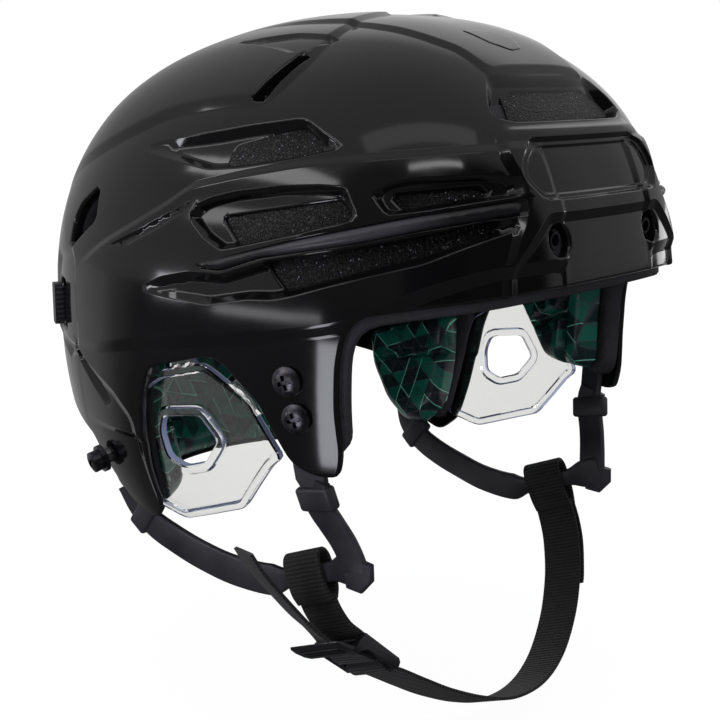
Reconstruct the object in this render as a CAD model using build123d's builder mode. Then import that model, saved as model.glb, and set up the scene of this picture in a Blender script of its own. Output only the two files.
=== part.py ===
"""Ice hockey helmet with ear guards, moulded side straps and a webbing chin strap.

Z is up, the brow faces -Y and the wearer's right is -X. The origin is the centre of the head
opening, level with the lower edge of the brow. Every size is in millimetres.
"""
from build123d import *
import math
import os

os.makedirs("parts", exist_ok=True)

# Shell envelope
front_reach = 131.0
rear_reach = 131.0
half_width = 107.9
crown_height = 102.0
widest_ahead = 22.0
widest_below = 17.0
lower_reach = 138.0
front_power = 3.0
rear_power = 2.13
upright_power = 2.38
rear_flare = 0.16

# Centre line that the skin's grid turns about, through the ear openings
axis_ahead = 12.0
axis_below = 54.0
grid_start = -38
grid_turn = 296
grid_rows = 38
grid_columns = 26
brow_columns = 15
brow_rows = 6
pole_angle = 4
skin_tolerance = 0.05

# Share of the half width that a block over one side takes up, from twice the half width inward
half_block_share = 1.63

# Walls, from the outside in
shell_wall = 3.2
mesh_inset = 3.4
mesh_wall = 0.5
foam_inset = 4.2
foam_wall = 7.6
pad_inset = 12.1
pad_wall = 9.0
thick_pad_wall = 12.0
thin_pad_wall = 5.0
run_gap = 0.3

# Recesses in the shell
panel_depth = 1.3
trim_wall = 1.9
inlay_wall = 1.2
vent_rounding = 1.6
panel_rounding = 2.4
rim_rounding = 5.0
tip_rounding = 2.0

# Ear guards
guard_inset = 5.2
guard_wall = 2.0
guard_rib = 1.2
guard_rounding = 2.5

# Fasteners
screw_head_radius = 5.5
screw_head_height = 2.6
dome_share = 0.8
screw_cross_length = 5.4
screw_cross_width = 1.5
screw_cross_depth = 1.4
screw_shank_radius = 2.0
nut_bore_radius = 2.08
nut_barrel_radius = 3.0
nut_flange_radius = 6.2
nut_flange_wall = 1.2
nut_hole_radius = 3.3
pocket_radius = 8.4
recess_radius = 5.8
recess_depth = 1.4
insert_bore_radius = 2.1
insert_gap = 1.6
rear_head_radius = 4.3
rear_head_height = 6.4
rear_collar_radius = 5.6
rear_collar_height = 2.0

# Moulded side straps
strap_width = 12.6
strap_wall = 2.8
keeper_length = 9.0
keeper_width = 16.4
keeper_wall = 5.2

# Chin webbing, laid out in a plane through both hubs that leans forward
hub_half_width = 78.0
hub_ahead = 52.0
hub_below = 105.0
strap_lean = 22
webbing_width = 20.0
webbing_wall = 1.4
loop_height = 15.4
loop_gap = 3.8
buckle_width = 27.0
buckle_wall = 3.0
buckle_pitch = 8.0
buckle_bar = 2.6
lever_length = 9.0

# Fit adjuster
cradle_inset = 9.4
cradle_wall = 2.6
cradle_pad_wall = 8.0
slider_travel = 7.0
slider_length = 17.0
slider_width = 8.0
slider_wall = 3.4
stem_width = 4.0
track_gap = 0.6
track_depth = 1.6

# Outlines seen from the side, in shares of the front reach and the crown height
rim_shares = (
    (-1.221, 0.078), (-1, 0.069), (-0.924, 0.044), (-0.847, 0.029), (-0.756, 0.01),
    (-0.672, -0.01), (-0.63, -0.069), (-0.615, -0.176), (-0.611, -0.333), (-0.618, -0.49),
    (-0.603, -0.578), (-0.55, -0.588), (-0.473, -0.544), (-0.382, -0.333), (-0.267, -0.211),
    (-0.221, -0.196), (0.015, -0.275), (0.061, -0.431), (0.084, -0.647), (0.099, -0.882),
    (0.168, -0.961), (0.275, -0.912), (0.351, -0.784), (0.427, -0.647), (0.611, -0.588),
    (0.824, -0.549), (1.221, -0.529), (1.221, 1.275), (-1.221, 1.275),
)
foam_rim_shares = (
    (-1.221, 0.029), (-1, 0.029), (-0.924, 0.006), (-0.847, -0.01), (-0.756, -0.029),
    (-0.687, -0.049), (-0.645, -0.098), (-0.634, -0.176), (-0.63, -0.333), (-0.63, -0.471),
    (-0.58, -0.539), (-0.504, -0.49), (-0.405, -0.294), (-0.29, -0.172), (-0.221, -0.157),
    (0.038, -0.235), (0.088, -0.431), (0.111, -0.647), (0.126, -0.863), (0.168, -0.922),
    (0.252, -0.873), (0.321, -0.765), (0.382, -0.588), (0.427, -0.392), (0.489, 0.039),
    (1.221, 0.039), (1.221, 1.275), (-1.221, 1.275),
)
upper_vent_shares = (
    (-0.214, 0.471), (-0.221, 0.539), (-0.42, 0.608), (-0.496, 0.549), (-0.473, 0.52),
)
vent_a_shares = (
    (-0.244, 0.294), (-0.313, 0.201), (-0.626, 0.304), (-0.588, 0.373),
)
vent_b_shares = (
    (-0.695, 0.392), (-0.733, 0.343), (-0.874, 0.387), (-0.855, 0.417),
)
vent_c_shares = (
    (-0.405, 0.152), (-0.649, 0.211), (-0.779, 0.25), (-0.893, 0.304), (-0.901, 0.255),
    (-0.786, 0.191), (-0.466, 0.064),
)
upper_panel_shares = (
    (-0.153, 0.333), (-0.237, 0.392), (-0.534, 0.461), (-0.702, 0.48), (-0.87, 0.466),
    (-0.916, 0.363), (-0.779, 0.324), (-0.504, 0.24), (-0.26, 0.147),
)
lower_panel_shares = (
    (-0.275, 0.118), (-0.397, 0.181), (-0.649, 0.24), (-0.779, 0.28), (-0.924, 0.328),
    (-0.931, 0.265), (-0.794, 0.157), (-0.473, 0.029), (-0.382, 0.029),
)
roof_panel_shares = (
    (0.031, 0.49), (-0.229, 0.608), (-0.458, 0.647), (-0.565, 0.559), (-0.473, 0.49),
    (-0.229, 0.426),
)
bar_shares = (
    (-0.16, 0.118), (-0.504, 0.231), (-0.771, 0.316), (-0.912, 0.357), (-0.92, 0.318),
    (-0.779, 0.278), (-0.649, 0.235), (-0.397, 0.173), (-0.275, 0.12),
)
rear_vent_shares = (
    (0.458, 0.108), (0.45, 0.216), (0.412, 0.284), (0.305, 0.363), (0.29, 0.235),
)
low_vent_shares = (
    (0.458, -0.235), (0.427, -0.333), (0.252, -0.49), (0.221, -0.451), (0.336, -0.324),
)
guard_shares = (
    (0.107, -0.373), (0.008, -0.294), (-0.168, -0.235), (-0.206, -0.255), (-0.328, -0.343),
    (-0.427, -0.549), (-0.389, -0.588), (-0.267, -0.784), (0, -0.907), (0.137, -0.877),
    (0.168, -0.618),
)
guard_inner_shares = (
    (0.084, -0.392), (0, -0.327), (-0.16, -0.271), (-0.191, -0.284), (-0.308, -0.367),
    (-0.397, -0.549), (-0.371, -0.575), (-0.255, -0.755), (-0.005, -0.873), (0.119, -0.847),
    (0.145, -0.618),
)
guard_hole_shares = (
    (0, -0.471), (-0.153, -0.436), (-0.214, -0.525), (-0.153, -0.623), (-0.061, -0.662),
    (0.004, -0.637), (0.019, -0.539),
)
guard_ring_shares = (
    (0.018, -0.441), (-0.163, -0.402), (-0.249, -0.529), (-0.173, -0.662), (-0.061, -0.706),
    (0.027, -0.68), (0.049, -0.539),
)
guard_ring_inner_shares = (
    (0.009, -0.456), (-0.158, -0.42), (-0.231, -0.527), (-0.163, -0.642), (-0.061, -0.684),
    (0.015, -0.659), (0.034, -0.539),
)
guard_front_arm_shares = (
    (-0.26, -0.304), (-0.359, -0.402), (-0.435, -0.314), (-0.496, -0.3), (-0.527, -0.255),
    (-0.519, -0.206), (-0.473, -0.182), (-0.397, -0.196),
)
guard_top_arm_shares = (
    (-0.145, -0.275), (-0.038, -0.314), (-0.046, -0.216), (-0.13, -0.191),
)
guard_rear_arm_shares = (
    (0.13, -0.627), (0.122, -0.765), (0.214, -0.765), (0.237, -0.696), (0.214, -0.627),
)
temple_pad_shares = (
    (-0.214, 0.078), (-0.58, 0.137), (-0.603, -0.098), (-0.592, -0.294), (-0.599, -0.451),
    (-0.565, -0.5), (-0.45, -0.505), (-0.374, -0.49), (-0.313, -0.382), (-0.237, -0.255),
    (-0.198, -0.167),
)
side_pad_shares = (
    (-0.168, -0.078), (0.382, -0.137), (0.412, 0.294), (0.305, 0.373), (-0.153, 0.412),
)
side_mesh_shares = (
    (-0.198, 0.157, 0.353), (-0.282, 0.108, 0.373), (-0.366, 0.064, 0.392),
    (-0.458, 0.025, 0.412), (-0.534, 0.049, 0.426), (-0.611, 0.074, 0.441),
    (-0.695, 0.108, 0.441), (-0.779, 0.147, 0.441), (-0.847, 0.196, 0.441),
    (-0.905, 0.24, 0.441),
)
roof_mesh_shares = (
    (-0.168, 0.451), (-0.191, 0.551), (-0.305, 0.582), (-0.427, 0.624), (-0.527, 0.559),
    (-0.489, 0.49),
)
rear_pad_shares = (
    (0.427, -0.549), (0.328, -0.451), (0.13, -0.363), (0.118, -0.686), (0.13, -0.833),
    (0.198, -0.917), (0.267, -0.912), (0.328, -0.824), (0.405, -0.686),
)
cradle_shares = (
    (0.496, -0.353), (0.58, -0.451), (0.626, -1), (1.221, -1), (1.221, -0.196), (0.794, -0.176),
    (0.672, -0.049), (0.519, -0.049),
)
cradle_pad_shares = (
    (0.588, -0.235), (0.626, -0.49), (0.626, -0.931), (1.221, -0.931), (1.221, -0.216),
    (0.634, -0.196),
)

# Outlines seen from the front, in shares of the half width and the crown height
front_vent_shares = (
    (-0.269, 0.632), (-0.269, 0.681), (-0.222, 0.725), (0.222, 0.725), (0.269, 0.681),
    (0.269, 0.632),
)
hood_panel_shares = (
    (-0.389, 0.608), (-0.334, 0.706), (-0.25, 0.784), (0.25, 0.784), (0.334, 0.706),
    (0.389, 0.608),
)
plate_shares = (
    (-0.389, 0.426), (-0.361, 0.49), (-0.287, 0.554), (0.287, 0.554), (0.361, 0.49),
    (0.389, 0.426), (0.324, 0.348), (-0.324, 0.348),
)
front_mesh_shares = (
    (0.306, 0.593), (0.25, 0.76),
)
brow_pad_shares = (
    (0.612, 0.059), (0.593, 0.333),
)

# Outlines seen from above, in shares of the half width and the front reach
crown_slot_shares = (
    (-0.76, -0.221), (-0.575, -0.267), (-0.584, -0.305), (-0.751, -0.267),
)
crown_mesh_shares = (
    (-0.766, -0.205), (-0.551, -0.249), (-0.565, -0.325), (-0.764, -0.29),
)
inlay_shares = (
    (-0.12, -0.527), (0.046, -0.527), (0.088, -0.588), (0.046, -0.641), (-0.028, -0.653),
    (-0.093, -0.611),
)
crown_pad_shares = (
    (-0.334, -0.397), (0.334, -0.397), (0.408, -0.229), (0.408, 0.26), (0.315, 0.443),
    (-0.315, 0.443), (-0.408, 0.26), (-0.408, -0.229),
)
crown_channel_shares = (
    (-0.028, -0.534), (0.028, -0.534), (0.028, 0.534), (-0.028, 0.534),
)

# Side strap centre lines, in shares of the half width, front reach and lower reach
front_leg_shares = (
    (-0.832, -0.511, -0.442), (-0.829, -0.502, -0.478), (-0.816, -0.511, -0.522),
    (-0.788, -0.534, -0.572), (-0.758, -0.554, -0.623), (-0.736, -0.568, -0.674),
    (-0.732, -0.573, -0.703),
)
rear_leg_shares = (
    (-0.732, -0.603, -0.685), (-0.727, -0.55, -0.703), (-0.723, -0.481, -0.729),
    (-0.723, -0.397, -0.761), (-0.723, -0.313, -0.79), (-0.734, -0.229, -0.812),
    (-0.754, -0.092, -0.812), (-0.773, 0.031, -0.793), (-0.784, 0.137, -0.768),
    (-0.797, 0.229, -0.736), (-0.806, 0.294, -0.688), (-0.823, 0.325, -0.63),
)
rear_leg_width_shares = (1, 1, 0.62, 0.6, 0.62, 1, 1, 1, 1, 1, 1, 1)
front_plate_shares = (
    (-0.455, -0.373), (-0.466, -0.647), (-0.557, -0.647), (-0.553, -0.373), (-0.527, -0.314),
    (-0.481, -0.314),
)
rear_plate_shares = (
    (0.284, -0.716), (0.279, -0.882), (0.373, -0.882), (0.38, -0.716), (0.355, -0.653),
    (0.309, -0.653),
)

# Webbing centre lines in the leaning plane, in shares of the hub half width
chin_shares = (
    (0.885, 0.538), (0.744, 0.731), (0.538, 0.897), (0.308, 0.982), (0.051, 0.979),
    (-0.179, 0.904), (-0.397, 0.79), (-0.551, 0.687), (-0.7, 0.582),
)
fold_shares = (
    (1, 0.108), (1, 0.256), (0.968, 0.385), (0.885, 0.538),
)
adjust_shares = (
    (-1, 0.108), (-0.987, 0.179), (-0.954, 0.262),
)
tail_shares = (
    (-1.026, 0.351), (-1.079, 0.295), (-1.146, 0.199), (-1.218, 0.083), (-1.282, -0.026),
    (-1.333, -0.135), (-1.372, -0.244),
)
buckle_share = (-0.853, 0.436)
bar_direction_shares = (0.68, 0.733)

# Fastener places, in shares of the front reach and the crown height
upper_screw_share = (-0.481, -0.245)
lower_screw_share = (-0.504, -0.373)
rear_screw_share = (0.332, -0.716)
slider_share = (0.588, -0.137)
insert_share = (0.278, 0.221)


def ovoid_measure(x, y, z):
    """One on the outer skin of the shell, less inside it."""
    y = y + widest_ahead
    z = z + widest_below
    reach = front_reach - widest_ahead if y < 0 else rear_reach + widest_ahead
    power = front_power if y < 0 else rear_power
    rise = crown_height + widest_below if z > 0 else lower_reach
    width = half_width * (1 + rear_flare * max(-1, min(1, y / reach)))
    plan = (abs(x / width) ** power + abs(y / reach) ** power) ** (1 / power)
    return (plan ** upright_power + abs(z / rise) ** upright_power) ** (1 / upright_power)


def skin_normal(point):
    """Unit vector out of the skin at a point."""
    step = half_width / 9999
    slopes = []
    for i in range(3):
        ahead = list(point)
        behind = list(point)
        ahead[i] += step
        behind[i] -= step
        slopes.append(ovoid_measure(*ahead) - ovoid_measure(*behind))
    return Vector(*slopes).normalized()


def skin_hit(start, heading, inset=0):
    """Point where a line from inside meets the skin, moved inward by the inset."""
    low = 0
    high = front_reach + rear_reach
    for _ in range(40):
        middle = (low + high) / 2
        probe = start + heading * middle
        if ovoid_measure(probe.X, probe.Y, probe.Z) < 1:
            low = middle
        else:
            high = middle
    hit = start + heading * low
    return hit - skin_normal((hit.X, hit.Y, hit.Z)) * inset


def skin_sheet(inset):
    """Smooth face the inset below the skin, open at the ears and underneath."""
    middle = Vector(0, -axis_ahead, -axis_below)
    rows = []
    for i in range(grid_rows):
        turn = math.radians(grid_start + grid_turn * i / (grid_rows - 1))
        row = []
        for j in range(grid_columns):
            sweep = math.radians(pole_angle + (180 - 2 * pole_angle) * j / (grid_columns - 1))
            heading = Vector(
                -math.cos(sweep), -math.sin(sweep) * math.cos(turn), math.sin(sweep) * math.sin(turn)
            )
            row.append(skin_hit(middle, heading, inset))
        rows.append(row)
    return Face.make_surface_from_array_of_points(rows, tol=skin_tolerance)


def closed_layer(outside, inside):
    """Solid between two faces of the same layout."""
    edges = zip(outside.edges(), inside.edges())
    return Solid(Shell([outside, inside, *[Face.make_surface_from_curves(a, b) for a, b in edges]]))


def skin_layer(inset, wall):
    """Curved layer that follows the skin, from the inset inward by the wall."""
    return closed_layer(skin_sheet(inset), skin_sheet(inset + wall))


def brow_sheet(corners, inset):
    """Smooth face the inset below the brow, between two lower and two upper corners."""
    (low_x, low_z), (high_x, high_z) = corners
    rows = []
    for i in range(brow_columns):
        row = []
        for j in range(brow_rows):
            part_up = j / (brow_rows - 1)
            x = (low_x + (high_x - low_x) * part_up) * (2 * i / (brow_columns - 1) - 1)
            z = low_z + (high_z - low_z) * part_up
            row.append(skin_hit(Vector(x * half_width, 0, z * crown_height), Vector(0, -1, 0), inset))
        rows.append(row)
    return Face.make_surface_from_array_of_points(rows, tol=skin_tolerance)


def side_sheet(strips, inset):
    """Smooth face the inset below the right side; each strip gives y and two heights."""
    rows = []
    for y, low_z, high_z in strips:
        row = []
        for j in range(brow_rows):
            z = low_z + (high_z - low_z) * j / (brow_rows - 1)
            row.append(skin_hit(Vector(0, y * front_reach, z * crown_height), Vector(-1, 0, 0), inset))
        rows.append(row)
    return Face.make_surface_from_array_of_points(rows, tol=skin_tolerance)


def brow_layer(corners, inset, wall):
    """Curved piece behind the brow, from the inset inward by the wall."""
    return closed_layer(brow_sheet(corners, inset), brow_sheet(corners, inset + wall))


def side_plane(share, side, inset=0):
    """Plane on the skin at a place given from the side, facing out; side is -1 for the right."""
    start = Vector(0, share[0] * front_reach, share[1] * crown_height)
    hit = skin_hit(start, Vector(side, 0, 0))
    normal = skin_normal((hit.X, hit.Y, hit.Z))
    return Plane(origin=hit - normal * inset, x_dir=(0, 0, 1), z_dir=normal)


def front_plane(share, side, inset=0):
    """Plane on the skin at a place given from the front, facing ahead."""
    start = Vector(side * share[0] * half_width, 0, share[1] * crown_height)
    hit = skin_hit(start, Vector(0, -1, 0))
    return Plane(origin=hit + Vector(0, inset, 0), x_dir=(1, 0, 0), z_dir=(0, -1, 0))


def flat_outline(points, rounding=0, grow=0):
    """Filled polygon, grown or shrunk, its corners rounded."""
    with BuildSketch() as base:
        with BuildLine():
            Polyline(*points, close=True)
        make_face()
        if rounding:
            fillet(base.vertices(), radius=rounding)
        if grow:
            offset(amount=grow, kind=Kind.INTERSECTION, mode=Mode.REPLACE)
    return base.sketch


def block_on(plane, outlines, depth, holes=()):
    """Straight block from filled outlines on a plane, less its holes."""
    with BuildPart() as block:
        with BuildSketch(plane):
            add(outlines)
            for hole in holes:
                add(hole, mode=Mode.SUBTRACT)
        extrude(amount=depth)
    return block.part


def prism(plane, points, depth, rounding=0, grow=0):
    """Straight block with a polygon base."""
    return block_on(plane, [flat_outline(points, rounding, grow)], depth)


def side_outline(shares, rounding=0, grow=0):
    """Filled outline from shares seen from the side."""
    return flat_outline([(y * front_reach, z * crown_height) for y, z in shares], rounding, grow)


def right_block(outlines, holes=()):
    """Block over the right side only, clear of the middle, from filled outlines."""
    return block_on(Plane.YZ.offset(-2 * half_width), outlines, half_block_share * half_width, holes)


def side_block(shares, rounding=0, grow=0):
    """Block right across the helmet with a side outline."""
    points = [(y * front_reach, z * crown_height) for y, z in shares]
    return prism(Plane.YZ.offset(-2 * half_width), points, 4 * half_width, rounding, grow)


def half_block(shares, rounding=0, grow=0):
    """Block over the right side only, with a side outline."""
    return right_block([side_outline(shares, rounding, grow)])


def front_block(shares, rounding=0, grow=0):
    """Block from the centre out through the brow."""
    points = [(x * half_width, z * crown_height) for x, z in shares]
    return prism(Plane.XZ, points, 2 * front_reach, rounding, grow)


def top_block(shares, rounding=0, grow=0):
    """Block from the middle up through the crown."""
    points = [(x * half_width, y * front_reach) for x, y in shares]
    return prism(Plane.XY, points, 2 * crown_height, rounding, grow)


def drum(radius, height, start=0):
    """Cylinder along the local Z axis from the start height up."""
    with BuildPart() as block:
        with BuildSketch(Plane.XY.offset(start)):
            Circle(radius)
        extrude(amount=height)
    return block.part


def strap_points(shares):
    """Centre line of a side strap as points."""
    return [Vector(x * half_width, y * front_reach, z * lower_reach) for x, y, z in shares]


def flat_band(points, width, wall, width_shares):
    """Band along a centre line, its flat face toward the head."""
    rows = []
    for i in range(len(points)):
        before = points[max(i - 1, 0)]
        after = points[min(i + 1, len(points) - 1)]
        edge = (after - before).cross(Vector(1, 0, 0)).normalized() * (width / 2 * width_shares[i])
        middle = points[i] - Vector(wall / 2, 0, 0)
        rows.append([middle + edge, middle - edge])
    sheet = Face.make_surface_from_array_of_points(rows, tol=skin_tolerance)
    return Solid.thicken(sheet, wall, normal_override=Vector(1, 0, 0))


def keeper(before, after):
    """Thick moulded block across a side strap."""
    middle = (before + after) * 0.5
    with BuildPart() as block:
        with BuildSketch(Plane(origin=middle, x_dir=after - before, z_dir=(1, 0, 0))):
            RectangleRounded(keeper_length, keeper_width, keeper_wall / 4)
        extrude(amount=keeper_wall / 2, both=True)
    return block.part


def clipped(layer, *blocks):
    """The part of a layer that lies inside every block."""
    with BuildPart() as piece:
        add(layer)
        for block in blocks:
            add(block, mode=Mode.INTERSECT)
    return piece.part


def placed(piece, planes):
    """Copies of a piece at several planes."""
    with BuildPart() as group:
        with Locations(*planes):
            add(piece)
    return group.part


def mirrored(piece):
    """The same piece on the left side."""
    return mirror(piece, about=Plane.YZ)


lean = math.radians(strap_lean)
across = Vector(0, math.cos(lean), -math.sin(lean))
hub_middle = Vector(0, -hub_ahead, -hub_below)
strap_plane = Plane(origin=hub_middle, x_dir=(1, 0, 0), z_dir=across)
webbing_plane = strap_plane.offset(-webbing_width / 2)


def web_points(shares):
    """Spots in the leaning plane: across the helmet, then down from the hub line."""
    return [(x * hub_half_width, drop * hub_half_width) for x, drop in shares]


# Outer shell
panel_layer = skin_layer(-4 * panel_depth, 5 * panel_depth)
shell_blocks = [
    side_block(upper_vent_shares, vent_rounding),
    side_block(vent_a_shares, vent_rounding),
    side_block(vent_b_shares, vent_rounding),
    side_block(vent_c_shares, vent_rounding),
    side_block(rear_vent_shares, vent_rounding),
    front_block(front_vent_shares, vent_rounding),
    top_block(crown_slot_shares),
    mirrored(top_block(crown_slot_shares)),
]
panel_blocks = [
    side_block(upper_panel_shares, panel_rounding),
    side_block(lower_panel_shares, panel_rounding),
    side_block(roof_panel_shares, panel_rounding),
    side_block(low_vent_shares, vent_rounding),
    side_block(bar_shares),
    front_block(plate_shares, panel_rounding),
    front_block(hood_panel_shares, panel_rounding),
    top_block(inlay_shares, vent_rounding),
]
panel_cuts = [clipped(panel_layer, block) for block in panel_blocks]
upper_planes = [side_plane(upper_screw_share, side) for side in (-1, 1)]
lower_planes = [side_plane(lower_screw_share, side) for side in (-1, 1)]
rear_planes = [side_plane(rear_screw_share, side) for side in (-1, 1)]
slider_planes = [side_plane(slider_share, side) for side in (-1, 1)]
insert_planes = [front_plane(insert_share, side) for side in (-1, 1)]
bolt_planes = upper_planes + lower_planes + rear_planes
hole_cuts = placed(drum(nut_hole_radius, 4 * shell_wall, -2 * shell_wall), bolt_planes + insert_planes)
recess_cuts = placed(drum(recess_radius, 4 * recess_depth, -recess_depth), insert_planes)
with BuildPart() as track_cut:
    with BuildSketch(Plane.XY.offset(-track_depth)):
        RectangleRounded(
            slider_length + 2 * slider_travel + 2 * track_gap, slider_width + 2 * track_gap, vent_rounding
        )
    extrude(amount=4 * track_depth)
    with BuildSketch(Plane.XY.offset(-2 * shell_wall)):
        Rectangle(
            slider_length - slider_wall + 2 * slider_travel + 2 * track_gap, stem_width + 2 * track_gap
        )
    extrude(amount=3 * shell_wall)
track_cuts = placed(track_cut.part, slider_planes)
rim_block = side_block(rim_shares, tip_rounding)
shell_layer = skin_layer(0, shell_wall)
with BuildPart() as outer_shell:
    add(shell_layer)
    add(rim_block, mode=Mode.INTERSECT)
    add(panel_cuts, mode=Mode.SUBTRACT)
    add(shell_blocks, mode=Mode.SUBTRACT)
    add(hole_cuts, mode=Mode.SUBTRACT)
    add(recess_cuts, mode=Mode.SUBTRACT)
    add(track_cuts, mode=Mode.SUBTRACT)

# Foam liner, with pockets for the nuts, the guard arms and the strap ends
pocket_layer = skin_layer(mesh_inset - run_gap, guard_inset + guard_wall - mesh_inset + 2 * run_gap)
pocket_blocks = [
    side_block(guard_shares, 0, 3 * run_gap),
    side_block(guard_front_arm_shares, 0, 3 * run_gap),
    side_block(guard_rear_arm_shares, 0, 3 * run_gap),
    side_block(guard_top_arm_shares, 0, 3 * run_gap),
    side_block(front_plate_shares, 0, 3 * run_gap),
]
pocket_cuts = [clipped(pocket_layer, block) for block in pocket_blocks]
deep_layer = skin_layer(mesh_inset - run_gap, foam_inset + foam_wall - mesh_inset + 2 * run_gap)
rear_pocket = clipped(deep_layer, side_block(rear_plate_shares, 0, 6 * run_gap))
nut_depth = guard_inset + guard_wall + 2 * run_gap
nut_pockets = placed(
    drum(pocket_radius, nut_depth + nut_flange_wall + run_gap, -nut_depth - nut_flange_wall - run_gap),
    bolt_planes,
)
insert_depth = shell_wall + insert_gap
insert_pockets = placed(
    drum(pocket_radius, insert_depth + 2 * nut_flange_wall, -insert_depth - nut_flange_wall - run_gap),
    insert_planes,
)
foam_rim_block = side_block(foam_rim_shares, tip_rounding)
foam_layer = skin_layer(foam_inset, foam_wall)
with BuildPart() as foam_liner:
    add(foam_layer)
    add(foam_rim_block, mode=Mode.INTERSECT)
    add(shell_blocks, mode=Mode.SUBTRACT)
    add(pocket_cuts, mode=Mode.SUBTRACT)
    add(rear_pocket, mode=Mode.SUBTRACT)
    add(nut_pockets, mode=Mode.SUBTRACT)
    add(insert_pockets, mode=Mode.SUBTRACT)

# Vent meshes and trim
mesh_layer = skin_layer(mesh_inset, mesh_wall)
side_vent_mesh_right = closed_layer(
    side_sheet(side_mesh_shares, mesh_inset), side_sheet(side_mesh_shares, mesh_inset + mesh_wall)
)
side_vent_mesh_left = mirrored(side_vent_mesh_right)
upper_vent_mesh = clipped(mesh_layer, side_block(roof_mesh_shares, panel_rounding))
front_vent_mesh = brow_layer(front_mesh_shares, mesh_inset, mesh_wall)
crown_mesh_right = clipped(mesh_layer, top_block(crown_mesh_shares))
crown_mesh_left = mirrored(crown_mesh_right)
with BuildPart() as crown_vent_mesh:
    add(crown_mesh_right)
    add(crown_mesh_left)
trim_layer = skin_layer(run_gap - trim_wall + panel_depth, trim_wall - 2 * run_gap)
side_vent_trim_right = clipped(trim_layer, half_block(bar_shares, 0, -run_gap))
side_vent_trim_left = mirrored(side_vent_trim_right)
inlay_layer = skin_layer(0, inlay_wall - run_gap)
crown_inlay = clipped(inlay_layer, top_block(inlay_shares, vent_rounding, -run_gap))

# Comfort pads
pad_layer = skin_layer(pad_inset, pad_wall)
thick_pad_layer = skin_layer(pad_inset, thick_pad_wall)
brow_pad = brow_layer(brow_pad_shares, pad_inset, thin_pad_wall)
crown_pad_whole = clipped(pad_layer, top_block(crown_pad_shares, rim_rounding))
channel_layer = skin_layer(pad_inset + pad_wall / 2, pad_wall)
channel_cut = clipped(channel_layer, top_block(crown_channel_shares))
with BuildPart() as crown_pad:
    add(crown_pad_whole)
    add(channel_cut, mode=Mode.SUBTRACT)
temple_pad_right = clipped(thick_pad_layer, half_block(temple_pad_shares, rim_rounding / 2))
temple_pad_left = mirrored(temple_pad_right)
side_pad_right = clipped(pad_layer, half_block(side_pad_shares, rim_rounding))
side_pad_left = mirrored(side_pad_right)
rear_pad_right = clipped(thick_pad_layer, half_block(rear_pad_shares, rim_rounding / 2))
rear_pad_left = mirrored(rear_pad_right)

# Ear guards
guard_layer = skin_layer(guard_inset - guard_rib, guard_rib + guard_wall)
guard_outlines = [
    side_outline(guard_shares, guard_rounding),
    side_outline(guard_front_arm_shares, guard_rounding),
    side_outline(guard_rear_arm_shares, guard_rounding),
    side_outline(guard_top_arm_shares, guard_rounding),
]
guard_hole = side_outline(guard_hole_shares, guard_rounding)
floor_outline = side_outline(guard_inner_shares, guard_rounding)
ring_outline = side_outline(guard_ring_shares, guard_rounding)
floor_layer = skin_layer(guard_inset - 2 * guard_rib, 2 * guard_rib)
guard_floor_cut = clipped(floor_layer, right_block([floor_outline], [ring_outline]))
guard_bolt_hole = placed(drum(nut_hole_radius, 2 * nut_depth, -2 * nut_depth), upper_planes[:1])
guard_plate = clipped(guard_layer, right_block(guard_outlines, [guard_hole]))
with BuildPart() as ear_guard_right:
    add(guard_plate)
    add(guard_floor_cut, mode=Mode.SUBTRACT)
    add(guard_bolt_hole, mode=Mode.SUBTRACT)
ear_guard_left = mirrored(ear_guard_right.part)

# Screws, nuts and the threaded inserts in the brow
head_lift = run_gap / 3
with BuildPart() as side_screw:
    with BuildSketch(Plane.XY.offset(head_lift)):
        Circle(screw_head_radius)
    extrude(amount=screw_head_height)
    fillet(side_screw.faces().sort_by(Axis.Z)[-1].edges(), radius=dome_share * screw_head_height)
    with BuildSketch(Plane.XY.offset(head_lift)):
        Circle(screw_shank_radius)
    extrude(amount=-nut_depth - nut_flange_wall - run_gap)
    with BuildSketch(Plane.XY.offset(head_lift + screw_head_height)):
        Rectangle(screw_cross_length, screw_cross_width)
        Rectangle(screw_cross_width, screw_cross_length)
    extrude(amount=-screw_cross_depth, mode=Mode.SUBTRACT)
side_screws = placed(side_screw.part, upper_planes + lower_planes)
with BuildPart() as rear_screw:
    with BuildSketch(Plane.XY.offset(head_lift)):
        Circle(rear_collar_radius)
    extrude(amount=rear_collar_height)
    with BuildSketch(Plane.XY.offset(head_lift + rear_collar_height)):
        Circle(rear_head_radius)
    extrude(amount=rear_head_height - rear_collar_height)
    with BuildSketch(Plane.XY.offset(head_lift)):
        Circle(screw_shank_radius)
    extrude(amount=-nut_depth - nut_flange_wall - run_gap)
    with BuildSketch(Plane.XY.offset(head_lift + rear_head_height)):
        Rectangle(screw_cross_length, screw_cross_width)
        Rectangle(screw_cross_width, screw_cross_length)
    extrude(amount=-screw_cross_depth, mode=Mode.SUBTRACT)
rear_screws = placed(rear_screw.part, rear_planes)
with BuildPart() as side_nut:
    with BuildSketch(Plane.XY.offset(-nut_depth - nut_flange_wall)):
        Circle(nut_flange_radius)
    extrude(amount=nut_flange_wall)
    with BuildSketch(Plane.XY.offset(-nut_depth)):
        Circle(nut_barrel_radius)
    extrude(amount=nut_depth - run_gap)
    with BuildSketch(Plane.XY.offset(-nut_depth - nut_flange_wall)):
        Circle(nut_bore_radius)
    extrude(amount=2 * nut_depth, mode=Mode.SUBTRACT)
side_nuts = placed(side_nut.part, bolt_planes)
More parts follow.
